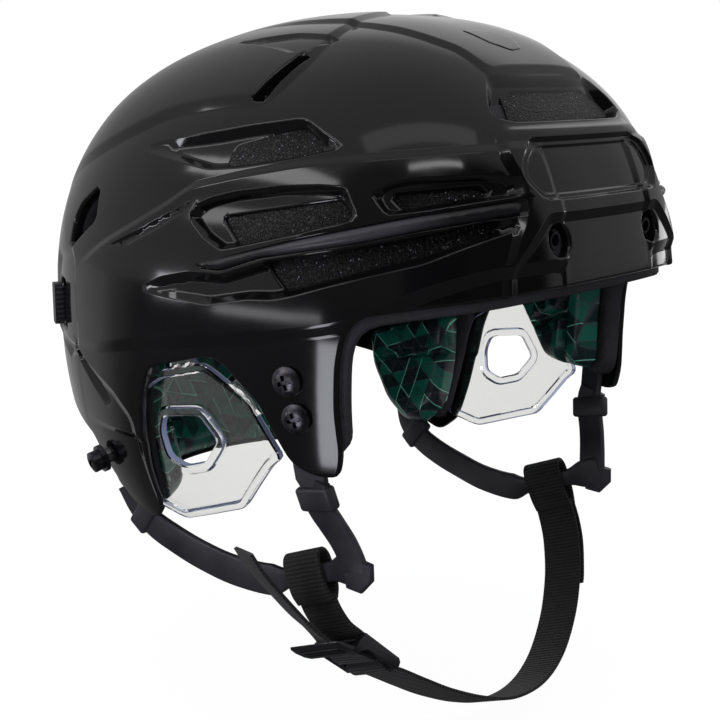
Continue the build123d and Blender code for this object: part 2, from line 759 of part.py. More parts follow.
with BuildPart() as brow_insert:
    with BuildSketch(Plane.XY.offset(-insert_depth - nut_flange_wall)):
        Circle(nut_flange_radius)
    extrude(amount=nut_flange_wall)
    with BuildSketch(Plane.XY.offset(-insert_depth)):
        Circle(nut_barrel_radius)
    extrude(amount=insert_depth - recess_depth)
    with BuildSketch(Plane.XY.offset(-insert_depth - nut_flange_wall)):
        Circle(insert_bore_radius)
    extrude(amount=2 * insert_depth, mode=Mode.SUBTRACT)
front_inserts = placed(brow_insert.part, insert_planes)

# Moulded side straps
plate_layer = skin_layer(shell_wall + run_gap, strap_wall)
front_leg_points = strap_points(front_leg_shares)
rear_leg_points = strap_points(rear_leg_shares)
front_leg = flat_band(front_leg_points, strap_width, strap_wall, [1] * len(front_leg_points))
rear_leg = flat_band(rear_leg_points, strap_width, strap_wall, rear_leg_width_shares)
front_plate = clipped(plate_layer, half_block(front_plate_shares, panel_rounding))
rear_plate = clipped(plate_layer, half_block(rear_plate_shares, panel_rounding))
front_keeper = keeper(front_leg_points[1], front_leg_points[2])
rear_keeper = keeper(rear_leg_points[9], rear_leg_points[10])
strap_holes = placed(
    drum(nut_hole_radius, 2 * nut_depth, -2 * nut_depth), [lower_planes[0], rear_planes[0]]
)
with BuildPart() as side_strap_right:
    add(front_leg)
    add(rear_leg)
    add(front_plate)
    add(rear_plate)
    add(front_keeper)
    add(rear_keeper)
    add(strap_holes, mode=Mode.SUBTRACT)
side_strap_left = mirrored(side_strap_right.part)

# Fit adjuster: cradle and pad inside, two sliders that reach out through the shell
cradle_layer = skin_layer(cradle_inset, cradle_wall)
cradle_pad_layer = skin_layer(cradle_inset + cradle_wall + run_gap, cradle_pad_wall)
occipital_cradle = clipped(cradle_layer, side_block(cradle_shares, rim_rounding / 2))
occipital_pad = clipped(cradle_pad_layer, side_block(cradle_pad_shares, rim_rounding / 2))
with BuildPart() as slider:
    with BuildSketch(Plane.XY.offset(track_gap - track_depth)):
        RectangleRounded(slider_length, slider_width, vent_rounding)
    extrude(amount=slider_wall)
    with BuildSketch(Plane.XY.offset(head_lift - cradle_inset)):
        Rectangle(slider_length - slider_wall, stem_width)
    extrude(amount=cradle_inset - track_depth + 2 * track_gap)
fit_slider_right = placed(slider.part, slider_planes[:1])
fit_slider_left = placed(slider.part, slider_planes[1:])

# Chin webbing, its loops and the ladder buckle
bar_along = Vector(*bar_direction_shares).normalized()
bar_out = Vector(-bar_along.Y, bar_along.X)
buckle_middle = Vector(*web_points([buckle_share])[0])


def buckle_spot(along, out):
    """Spot in the leaning plane from places along and out of the buckle."""
    spot = buckle_middle + bar_along * along + bar_out * out
    return (spot.X, spot.Y)


def hub_loop(side):
    """Outline of the webbing loop round a side strap."""
    with BuildSketch(webbing_plane) as ring:
        with Locations((side * hub_half_width, 0)):
            RectangleRounded(loop_gap + 2 * webbing_wall, loop_height + 2 * webbing_wall, 2 * webbing_wall)
            RectangleRounded(loop_gap, loop_height, webbing_wall, mode=Mode.SUBTRACT)
    return ring.sketch


def ribbon(points, wall):
    """Outline of webbing seen edge on."""
    with BuildSketch(webbing_plane) as strip:
        with BuildLine():
            Spline(*points)
        trace(line_width=wall)
    return strip.sketch


def webbing(outlines):
    """Webbing of full width from its outlines seen edge on."""
    with BuildPart() as band:
        add(outlines)
        extrude(amount=webbing_width, dir=across)
    return band.part


half_bar = buckle_bar / 2
web_lift = buckle_wall / 2 + webbing_wall
with BuildSketch(webbing_plane) as buckle_loop:
    with BuildLine():
        Polyline(
            buckle_spot(buckle_pitch - half_bar - 2 * webbing_wall, -web_lift - run_gap),
            buckle_spot(buckle_pitch + half_bar + 2 * webbing_wall, -web_lift - run_gap),
            buckle_spot(buckle_pitch + half_bar + 2 * webbing_wall, web_lift + run_gap),
            buckle_spot(buckle_pitch - half_bar - 2 * webbing_wall, web_lift + run_gap),
            close=True,
        )
    make_face()
    with BuildLine():
        Polyline(
            buckle_spot(buckle_pitch - half_bar - run_gap, -web_lift + webbing_wall - run_gap),
            buckle_spot(buckle_pitch + half_bar + run_gap, -web_lift + webbing_wall - run_gap),
            buckle_spot(buckle_pitch + half_bar + run_gap, web_lift - webbing_wall + run_gap),
            buckle_spot(buckle_pitch - half_bar - run_gap, web_lift - webbing_wall + run_gap),
            close=True,
        )
    make_face(mode=Mode.SUBTRACT)
end_spot = buckle_spot(buckle_pitch + half_bar + webbing_wall, 0)
chin_points = web_points(chin_shares) + [end_spot]
chin_webbing = webbing(
    [hub_loop(1), ribbon(web_points(fold_shares), 2 * webbing_wall), ribbon(chin_points, webbing_wall),
     buckle_loop.sketch]
)
turn_spots = [
    buckle_spot(-buckle_pitch - half_bar, -web_lift - run_gap),
    buckle_spot(0, -web_lift),
    buckle_spot(half_bar + webbing_wall / 2 + 2.5 * run_gap, 0),
    buckle_spot(0, web_lift),
    buckle_spot(-buckle_pitch, web_lift),
]
adjust_points = web_points(adjust_shares) + turn_spots + web_points(tail_shares)
adjusting_webbing = webbing([hub_loop(-1), ribbon(adjust_points, webbing_wall)])
rail_plane = strap_plane.offset(-buckle_width / 2)
rail_start = -buckle_pitch - half_bar
rail_end = buckle_pitch + half_bar


def slab(start, end, low, high):
    """Corners of a block in the buckle's own directions."""
    return [buckle_spot(start, low), buckle_spot(end, low), buckle_spot(end, high), buckle_spot(start, high)]


rail_wall = (buckle_width - webbing_width) / 2 - run_gap
half_wall = buckle_wall / 2
rails = [
    prism(rail_plane, slab(rail_start, rail_end, -half_wall, half_wall), rail_wall),
    prism(
        rail_plane.offset(buckle_width - rail_wall),
        slab(rail_start, rail_end, -half_wall, half_wall),
        rail_wall,
    ),
]
bars = [
    prism(
        rail_plane, slab(place - half_bar, place + half_bar, -half_wall, half_wall), buckle_width, half_bar / 2
    )
    for place in (-buckle_pitch, 0, buckle_pitch)
]
lever_points = [
    buckle_spot(rail_start, -half_wall),
    buckle_spot(rail_start, half_wall),
    buckle_spot(rail_start - lever_length, 2 * half_wall),
    buckle_spot(rail_start - lever_length, half_wall / 2),
]
lever = prism(rail_plane, lever_points, buckle_width)
with BuildPart() as buckle:
    add(rails)
    add(bars)
    add(lever)

pieces = {
    "outer_shell": outer_shell.part,
    "foam_liner": foam_liner.part,
    "side_vent_trim_right": side_vent_trim_right,
    "side_vent_trim_left": side_vent_trim_left,
    "side_vent_mesh_right": side_vent_mesh_right,
    "side_vent_mesh_left": side_vent_mesh_left,
    "upper_vent_mesh": upper_vent_mesh,
    "front_vent_mesh": front_vent_mesh,
    "crown_vent_mesh": crown_vent_mesh.part,
    "crown_inlay": crown_inlay,
    "brow_pad": brow_pad,
    "crown_pad": crown_pad.part,
    "temple_pad_right": temple_pad_right,
    "temple_pad_left": temple_pad_left,
    "side_pad_right": side_pad_right,
    "side_pad_left": side_pad_left,
    "rear_pad_right": rear_pad_right,
    "rear_pad_left": rear_pad_left,
    "ear_guard_right": ear_guard_right.part,
    "ear_guard_left": ear_guard_left,
    "side_screws": side_screws,
    "rear_screws": rear_screws,
    "side_nuts": side_nuts,
    "front_inserts": front_inserts,
    "side_strap_right": side_strap_right.part,
    "side_strap_left": side_strap_left,
    "occipital_cradle": occipital_cradle,
    "occipital_pad": occipital_pad,
    "fit_slider_right": fit_slider_right,
    "fit_slider_left": fit_slider_left,
    "chin_webbing": chin_webbing,
    "adjusting_webbing": adjusting_webbing,
    "buckle": buckle.part,
}
for name, piece in pieces.items():
    piece.label = name
    export_step(piece, f"parts/{name}.step")
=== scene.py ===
"""Ice hockey helmet, dressed for the eye.

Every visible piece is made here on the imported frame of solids, in metres. Lengths inside the
makers are in millimetres and turn to metres when a mesh is written.
"""
import math
from functools import partial
from itertools import chain

import bmesh
import bpy
import numpy as np
from bpy.props import FloatProperty, FloatVectorProperty, IntProperty, PointerProperty
from mathutils import Matrix, Vector


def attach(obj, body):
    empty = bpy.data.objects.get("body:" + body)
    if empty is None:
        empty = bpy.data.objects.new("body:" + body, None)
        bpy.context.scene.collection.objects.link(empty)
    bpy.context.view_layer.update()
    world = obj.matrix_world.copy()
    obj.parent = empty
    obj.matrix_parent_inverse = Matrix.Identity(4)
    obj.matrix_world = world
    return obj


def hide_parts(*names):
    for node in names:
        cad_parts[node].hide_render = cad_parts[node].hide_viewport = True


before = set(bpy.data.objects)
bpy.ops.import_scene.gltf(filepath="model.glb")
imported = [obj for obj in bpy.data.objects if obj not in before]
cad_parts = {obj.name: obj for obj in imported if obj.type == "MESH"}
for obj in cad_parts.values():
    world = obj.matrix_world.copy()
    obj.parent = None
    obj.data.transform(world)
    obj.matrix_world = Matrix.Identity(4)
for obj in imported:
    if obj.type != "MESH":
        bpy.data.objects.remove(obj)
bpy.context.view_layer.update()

bl_info = {
    "name": "Ice hockey helmet",
    "version": (1, 0, 0),
    "blender": (4, 5, 0),
    "location": "3D View > Sidebar > Helmet",
    "description": "Makes the visible pieces of an ice hockey helmet on its packed frame",
    "category": "Object",
}

# The skin: two half ovals in plan, two in height
FRONT_REACH, REAR_REACH, HALF_WIDTH = 131.0, 131.0, 107.9
CROWN_HEIGHT, LOWER_REACH = 102.0, 138.0
WIDEST_AHEAD, WIDEST_BELOW = 22.0, 17.0
FRONT_POWER, REAR_POWER, UPRIGHT_POWER, REAR_FLARE = 3.0, 2.13, 2.38, 0.16
AXIS_AHEAD, AXIS_BELOW = 12.0, 54.0
SHELL_WALL = 3.2
WEBBING_LEAN = math.radians(22)
HUB = np.array([0.0, -52.0, -105.0])
FLOOR_DROP = -0.187
PROBE = 0.02  # half the span over which the skin's slope is measured
PAST_SKIN, HALVINGS = 300.0, 34  # search for the skin along a line
MIRROR = [-1, 1, 1]
SIDEWAYS = [1.0, 0.0, 0.0]
SIDES = ((False, "right"), (True, "left"))  # whether a piece is on the wearer's left, and its word

# How far a field seen from each direction reaches through the head
SIDE_REACH, FRONT_REACH_IN, TOP_REACH_DOWN, WHOLE_SIDE = 26.0, 60.0, 20.0, -200

# Places on the skin that several pieces share, seen from the side or the front
UPPER_SCREW, LOWER_SCREW, REAR_SCREW = (-63, -25), (-66, -38), (43.5, -73)
BROW_INSERT = (-30, 22.5)
SCREW_HOLE, INSERT_RECESS = 2.6, 5.8

# Outlines seen from the side: y ahead is negative, z up
RIM = [(-160, 8), (-131, 7), (-121, 4.5), (-111, 3), (-99, 1), (-88, -1), (-82.5, -7), (-80.5, -18),
       (-80, -34), (-81, -50), (-79, -59), (-72, -60), (-62, -55.5), (-50, -34), (-35, -21.5), (-29, -20),
       (2, -28), (8, -44), (11, -66), (13, -90), (22, -98), (36, -93), (46, -80), (56, -66), (80, -60),
       (108, -56), (160, -54), (160, 130), (-160, 130)]
FOAM_RIM = [(-160, 3), (-131, 3), (-121, 0.6), (-111, -1), (-99, -3), (-90, -5), (-84.5, -10), (-83, -18),
            (-82.5, -34), (-82.5, -48), (-76, -55), (-66, -50), (-53, -30), (-38, -17.5), (-29, -16),
            (5, -24), (11.5, -44), (14.5, -66), (16.5, -88), (22, -94), (33, -89), (42, -78), (50, -60),
            (56, -40), (64, 4), (160, 4), (160, 130), (-160, 130)]
UPPER_VENT = [(-28, 48), (-29, 55), (-55, 62), (-65, 56), (-62, 53)]
VENT_A = [(-32, 30), (-41, 20.5), (-82, 31), (-77, 38)]
VENT_B = [(-91, 40), (-96, 35), (-114.5, 39.5), (-112, 42.5)]
VENT_C = [(-53, 15.5), (-85, 21.5), (-102, 25.5), (-117, 31), (-118, 26), (-103, 19.5), (-61, 6.5)]
REAR_VENT = [(60, 11), (59, 22), (54, 29), (40, 37), (38, 24)]


def ovoid(points):
    """One on the outer skin, less inside it."""
    x = points[:, 0]
    y = points[:, 1] + WIDEST_AHEAD
    z = points[:, 2] + WIDEST_BELOW
    reach = np.where(y < 0, FRONT_REACH - WIDEST_AHEAD, REAR_REACH + WIDEST_AHEAD)
    power = np.where(y < 0, FRONT_POWER, REAR_POWER)
    rise = np.where(z > 0, CROWN_HEIGHT + WIDEST_BELOW, LOWER_REACH)
    width = HALF_WIDTH * (1 + REAR_FLARE * np.clip(y / reach, -1, 1))
    plan = (np.abs(x / width) ** power + np.abs(y / reach) ** power) ** (1 / power)
    return (plan ** UPRIGHT_POWER + np.abs(z / rise) ** UPRIGHT_POWER) ** (1 / UPRIGHT_POWER)


def skin_normals(points):
    """Unit vectors out of the skin."""
    slopes = []
    for i in range(3):
        step = np.zeros(3)
        step[i] = PROBE
        slopes.append(ovoid(points + step) - ovoid(points - step))
    slopes = np.column_stack(slopes)
    return slopes / np.linalg.norm(slopes, axis=1)[:, None]


def skin_hits(starts, headings):
    """Where lines from inside meet the skin."""
    starts = np.asarray(starts, float)
    headings = np.asarray(headings, float)
    low = np.zeros(len(starts))
    high = np.full(len(starts), PAST_SKIN)
    for _ in range(HALVINGS):
        middle = (low + high) / 2
        inside = ovoid(starts + headings * middle[:, None]) < 1
        low = np.where(inside, middle, low)
        high = np.where(inside, high, middle)
    return starts + headings * low[:, None]


# Each view: the axes across it and the way to the skin; the side is the wearer's right
VIEWS = {"side": ([1, 2], [-1.0, 0.0, 0.0]), "front": ([0, 2], [0.0, -1.0, 0.0]), "top": ([0, 1], [0.0, 0.0, 1.0])}


def seen_points(seen_from, spots):
    """Skin points from flat spots seen from one direction."""
    axes, toward = VIEWS[seen_from]
    starts = np.zeros((len(spots), 3))
    starts[:, axes] = spots
    return skin_hits(starts, np.tile(toward, (len(spots), 1)))


side_points, front_points, top_points = (partial(seen_points, name) for name in VIEWS)


def around_points(spots):
    """Skin points from a way round the upright axis, 100 mm to the radian, and a height."""
    turn = spots[:, 0] / 100
    starts = np.column_stack([np.zeros(len(spots)), np.zeros(len(spots)), spots[:, 1]])
    return skin_hits(starts, np.column_stack([np.sin(turn), np.cos(turn), np.zeros(len(spots))]))


def turned_points(spots):
    """Skin points from turn and sweep angles about the line through the ears."""
    turn, sweep = spots[:, 0], spots[:, 1]
    headings = np.column_stack([-np.cos(sweep), -np.sin(sweep) * np.cos(turn), np.sin(sweep) * np.sin(turn)])
    return skin_hits(np.tile([0.0, -AXIS_AHEAD, -AXIS_BELOW], (len(spots), 1)), headings)


def softened(outline, radius):
    """The outline with each corner cut back to a short curve."""
    outline = [np.array(p, float) for p in outline]
    result = []
    for i, corner in enumerate(outline):
        before, after = outline[i - 1] - corner, outline[(i + 1) % len(outline)] - corner
        lengths = np.linalg.norm(before), np.linalg.norm(after)
        cut = min(radius, 0.45 * min(lengths))
        first, last = corner + before / lengths[0] * cut, corner + after / lengths[1] * cut
        for t in (0, 0.25, 0.5, 0.75, 1):
            result.append(first * (1 - t) ** 2 + corner * 2 * t * (1 - t) + last * t ** 2)
    return np.array(result)


def outline_distance(flat, outline, closed=True):
    """Distance from flat points to an outline, negative inside a closed one."""
    outline = np.asarray(outline, float)
    ends = np.roll(outline, -1, axis=0) if closed else outline[1:]
    best = np.full(len(flat), 1e9)
    inside = np.zeros(len(flat), bool)
    for a, b in zip(outline, ends):
        along = b - a
        share = np.clip(((flat - a) @ along) / max(along @ along, 1e-9), 0, 1)
        best = np.minimum(best, np.linalg.norm(flat - a - share[:, None] * along, axis=1))
        if closed and a[1] != b[1]:
            crosses = (a[1] > flat[:, 1]) != (b[1] > flat[:, 1])
            inside ^= crosses & (flat[:, 0] < (b[0] - a[0]) * (flat[:, 1] - a[1]) / (b[1] - a[1]) + a[0])
    return np.where(inside, -best, best)


def field(seen_from, outline, soft=0.0, reach=SIDE_REACH):
    """Distance field of an outline seen from one direction; the other side of the head reads as far."""
    outline = softened(outline, soft) if soft else np.array(outline, float)
    axes = VIEWS[seen_from][0]
    limit = {
        "side": lambda points: points[:, 0] + reach,
        "front": lambda points: points[:, 1] + FRONT_REACH_IN,
        "top": lambda points: TOP_REACH_DOWN - points[:, 2],
    }[seen_from]
    return lambda points: np.maximum(outline_distance(points[:, axes], outline), limit(points))


def smooth(value, start, end):
    """Zero before the start, one after the end, easing between."""
    share = np.clip((value - start) / (end - start), 0, 1)
    return share * share * (3 - 2 * share)


class CutSheet:
    """Grid laid on the skin by a placing function, cut along level lines of a field."""

    def __init__(self, firsts, seconds, place, middle_at=None):
        grid = np.meshgrid(firsts, seconds, indexing="ij")
        self.place = place
        self.spots = np.column_stack([grid[0].ravel(), grid[1].ravel()])
        self.points = place(self.spots)
        self.middle = np.abs(self.spots[:, 1] - (1e9 if middle_at is None else middle_at)) < 1e-9
        self.points[self.middle, 0] = 0
        self.held = np.zeros(len(self.spots), bool)
        index = np.arange(len(self.spots)).reshape(len(firsts), len(seconds))
        corners = [index[:-1, :-1], index[:-1, 1:], index[1:, 1:], index[1:, :-1]]
        self.faces = np.stack(corners, -1).reshape(-1, 4).tolist()

    def flat(self):
        """Corner numbers of all faces in one row, with each face's start."""
        corners = np.fromiter(chain.from_iterable(self.faces), int)
        sizes = np.fromiter(map(len, self.faces), int)
        return corners, np.r_[0, np.cumsum(sizes)[:-1]], sizes

    def crossing(self, value):
        """Faces that a level line passes through."""
        corners, starts, _ = self.flat()
        low = np.minimum.reduceat(value[corners], starts)
        high = np.maximum.reduceat(value[corners], starts)
        return np.nonzero((low < 0) & (high > 0))[0]

    def cut(self, measure, level=0.0, snap=0.22):
        """Split faces so that edges run along one level line."""
        value = measure(self.points) - level
        value[self.held & (np.abs(value) < 0.15)] = 0
        moves = {}
        for i in self.crossing(value):
            face = self.faces[i]
            for a, b in zip(face, face[1:] + face[:1]):
                if value[a] * value[b] >= 0:
                    continue
                share = value[a] / (value[a] - value[b])
                near, other = (a, b) if share < 0.5 else (b, a)
                share = min(share, 1 - share)
                stays = self.held[near] or (self.middle[near] and not self.middle[other])
                if share < snap and not stays and share < moves.get(near, (1,))[0]:
                    moves[near] = (share, other)
        if moves:
            near = np.array(list(moves))
            share = np.array([moves[n][0] for n in near])[:, None]
            other = np.array([moves[n][1] for n in near])
            self.spots[near] += (self.spots[other] - self.spots[near]) * share
            self.points[near] = self.place(self.spots[near])
            self.points[near[self.middle[near]], 0] = 0
            self.held[near] = True
            value[near] = 0
        made, spots, middle = {}, [], []
        chosen = self.crossing(value)
        for i in chosen:
            face = self.faces[i]
            for a, b in zip(face, face[1:] + face[:1]):
                key = (min(a, b), max(a, b))
                if value[a] * value[b] < 0 and key not in made:
                    made[key] = len(self.spots) + len(spots)
                    share = value[a] / (value[a] - value[b])
                    spots.append(self.spots[a] * (1 - share) + self.spots[b] * share)
                    middle.append(self.middle[a] and self.middle[b])
        if spots:
            points = self.place(np.array(spots))
            points[np.array(middle, bool), 0] = 0
            self.spots = np.vstack([self.spots, spots])
            self.points = np.vstack([self.points, points])
            self.middle = np.r_[self.middle, middle]
            self.held = np.r_[self.held, np.ones(len(spots), bool)]
            value = np.r_[value, np.zeros(len(spots))]
        extra = []
        for i in chosen:
            face = self.faces[i]
            loop = []
            for a, b in zip(face, face[1:] + face[:1]):
                loop.append(a)
                key = (min(a, b), max(a, b))
                if key in made:
                    loop.append(made[key])
            zeros = [k for k, v in enumerate(loop) if value[v] == 0]
            if len(zeros) == 2 and 1 < zeros[1] - zeros[0] < len(loop) - 1:
                self.faces[i] = loop[zeros[0]:zeros[1] + 1]
                extra.append(loop[zeros[1]:] + loop[:zeros[0] + 1])
            else:
                self.faces[i] = loop
        self.faces += extra

    def cut_all(self, measure, levels):
        """Cut along several level lines of one field."""
        for level in levels:
            self.cut(measure, level)

    def keep(self, measure, inside=True):
        """Keep the faces on one side of the zero level."""
        corners, starts, sizes = self.flat()
        value = np.add.reduceat(measure(self.points)[corners], starts) / sizes
        self.faces = [f for f, v in zip(self.faces, value) if (v < 0) == inside]

    def trim(self, measure, inside=True):
        """Cut along the zero level and keep the faces on one side."""
        self.cut(measure)
        self.keep(measure, inside)

    def tidy(self):
        """Drop the points no face uses."""
        corners, _, _ = self.flat()
        used = np.unique(corners)
        number = np.full(len(self.spots), -1)
        number[used] = np.arange(len(used))
        self.faces = [[int(number[v]) for v in f] for f in self.faces]
        self.spots, self.points = self.spots[used], self.points[used]
        self.middle, self.held = self.middle[used], self.held[used]


def rounded_drop(distance, radius):
    """How far a surface falls near an edge that is rounded over."""
    share = np.clip(1 - distance / radius, 0, 1)
    return -radius * (1 - np.sqrt(1 - share ** 2))


def step_slopes(pairs):
    """Slope at each level of a step: none at the outer levels and one slope in between."""
    levels, heights = zip(*pairs)
    weights = [0.0] + [1.0] * (len(levels) - 2) + [0.0]
    area = sum((levels[k + 1] - levels[k]) * (weights[k] + weights[k + 1]) / 2 for k in range(len(levels) - 1))
    return levels, [w * (heights[-1] - heights[0]) / area for w in weights]


def formed_normals(points, steps, swell, reach=0.3):
    """Normals of a face raised over the skin by steps, each with its slopes, and by a gentle swell."""
    base = skin_normals(points)
    upright = np.where(np.abs(base[:, 2:]) < 0.8, [[0.0, 0.0, 1.0]], [[1.0, 0.0, 0.0]])
    first = np.cross(base, upright)
    first /= np.linalg.norm(first, axis=1)[:, None]
    ways = [way * reach for way in (first, np.cross(base, first))]
    rises = [swell(points + way) - swell(points - way) for way in ways]
    for measure, levels, slopes, heights, fade in steps:
        value = measure(points)
        slope = np.interp(value, levels, slopes) * (1 if fade is None else fade(points))
        sloping = np.nonzero(np.abs(slope) > 1e-4)[0]
        for rise, way in zip(rises, ways):
            ahead, behind = points[sloping] + way[sloping], points[sloping] - way[sloping]
            rise[sloping] += slope[sloping] * (measure(ahead) - measure(behind))
            if fade is not None:
                rise += np.interp(value, levels, heights) * (fade(points + way) - fade(points - way))
    normals = base - sum(way * rise[:, None] for rise, way in zip(rises, ways)) / (2 * reach ** 2)
    return normals / np.linalg.norm(normals, axis=1)[:, None]


def walled(sheet, outer, inner, open_middle=False):
    """Points and faces of a cut sheet made into a closed double wall, open at the middle if asked."""
    normals = skin_normals(sheet.points)
    normals[sheet.middle, 0] = 0
    count = len(sheet.points)
    edges = {}
    for face in sheet.faces:
        for a, b in zip(face, face[1:] + face[:1]):
            if (b, a) in edges:
                del edges[(b, a)]
            else:
                edges[(a, b)] = True
    faces = [list(f) for f in sheet.faces] + [[v + count for v in reversed(f)] for f in sheet.faces]
    faces += [[b, a, a + count, b + count] for a, b in edges
              if not (open_middle and sheet.middle[a] and sheet.middle[b])]
    return np.vstack([sheet.points + normals * height[:, None] for height in (outer, inner)]), faces


def shell_object(name, sheet, outer, inner, both_sides=True, smooth_angle=40, left=False, facing=None):
    """Closed piece from a cut sheet and its outer and inner heights, whole or on one side."""
    points, faces = walled(sheet, outer, inner, both_sides)
    walls = 2 * len(sheet.faces)
    if both_sides:
        middle = np.r_[sheet.middle, sheet.middle]
        number = np.arange(len(points)) + len(points)
        number[middle] = np.nonzero(middle)[0]
        flipped = points * MIRROR
        order = np.cumsum(~middle) - 1 + len(points)
        number[~middle] = order[~middle]
        faces += [[int(number[v]) for v in reversed(f)] for f in faces]
        points = np.vstack([points, flipped[~middle]])
    elif left:
        points = points * MIRROR
    if not both_sides and turned_in(points, faces):
        faces = [list(reversed(f)) for f in faces]
    piece = mesh_object(name, points, faces, smooth_angle)
    piece["walls"] = walls
    if facing is not None:
        set_facing(piece, sheet, facing, len(faces) // 2)
    if not both_sides:
        add_map(piece, np.vstack([sheet.spots, sheet.spots]))
    return piece


def set_facing(piece, sheet, facing, half):
    """Give the outer faces of a mirrored piece the normals of the formed surface."""
    facing = facing.copy()
    facing[sheet.middle, 0] = 0
    mesh = piece.data
    normals = np.zeros((len(mesh.vertices), 3))
    normals[:len(facing)] = facing
    start = 2 * len(facing)
    normals[start:start + np.count_nonzero(~sheet.middle)] = facing[~sheet.middle] * MIRROR
    corners = np.zeros(len(mesh.loops), int)
    mesh.loops.foreach_get("vertex_index", corners)
    starts = np.zeros(len(mesh.polygons), int)
    mesh.polygons.foreach_get("loop_start", starts)
    starts = np.append(starts, len(corners))
    shaded = np.zeros((len(corners), 3))
    count = len(sheet.faces)
    for first, last in ((0, count), (half, half + count)):
        rows = slice(starts[first], starts[last])
        shaded[rows] = normals[corners[rows]]
    mesh.normals_split_custom_set(shaded.tolist())


def turned_in(points, faces):
    """Whether a closed set of faces points inward, from the sign of its volume."""
    volume = 0.0
    for face in faces:
        corners = points[face]
        for k in range(1, len(face) - 1):
            volume += np.dot(corners[0], np.cross(corners[k], corners[k + 1]))
    return volume < 0


def add_map(piece, spots):
    """Texture map of a piece: its flat spots, ten millimetres to a unit."""
    layer = piece.data.uv_layers.new(name="flat")
    corners = np.zeros(len(piece.data.loops), int)
    piece.data.loops.foreach_get("vertex_index", corners)
    layer.data.foreach_set("uv", (np.asarray(spots)[corners] / 10).ravel())


def placed_object(name, data):
    """Object of the scene at the origin."""
    piece = bpy.data.objects.new(name, data)
    bpy.context.scene.collection.objects.link(piece)
    return piece


def mesh_object(name, points, faces, smooth_angle=40):
    """Object at the origin from points in millimetres."""
    mesh = bpy.data.meshes.new(name)
    mesh.from_pydata((np.asarray(points) / 1000).tolist(), [], [list(map(int, f)) for f in faces])
    mesh.update()
    mesh.shade_smooth()
    mesh.set_sharp_from_angle(angle=math.radians(smooth_angle))
    return placed_object(name, mesh)


def mirrored(half):
    """Outline from its half on the wearer's right, seen from the front or the top."""
    return half + [(-x, other) for x, other in reversed(half)]


def fading(axis, start, end, share=1.0):
    """How much of a form stands at points: all past the end, less by the share before the start."""
    return lambda points: smooth(points[:, axis], start, end) * share + (1 - share)


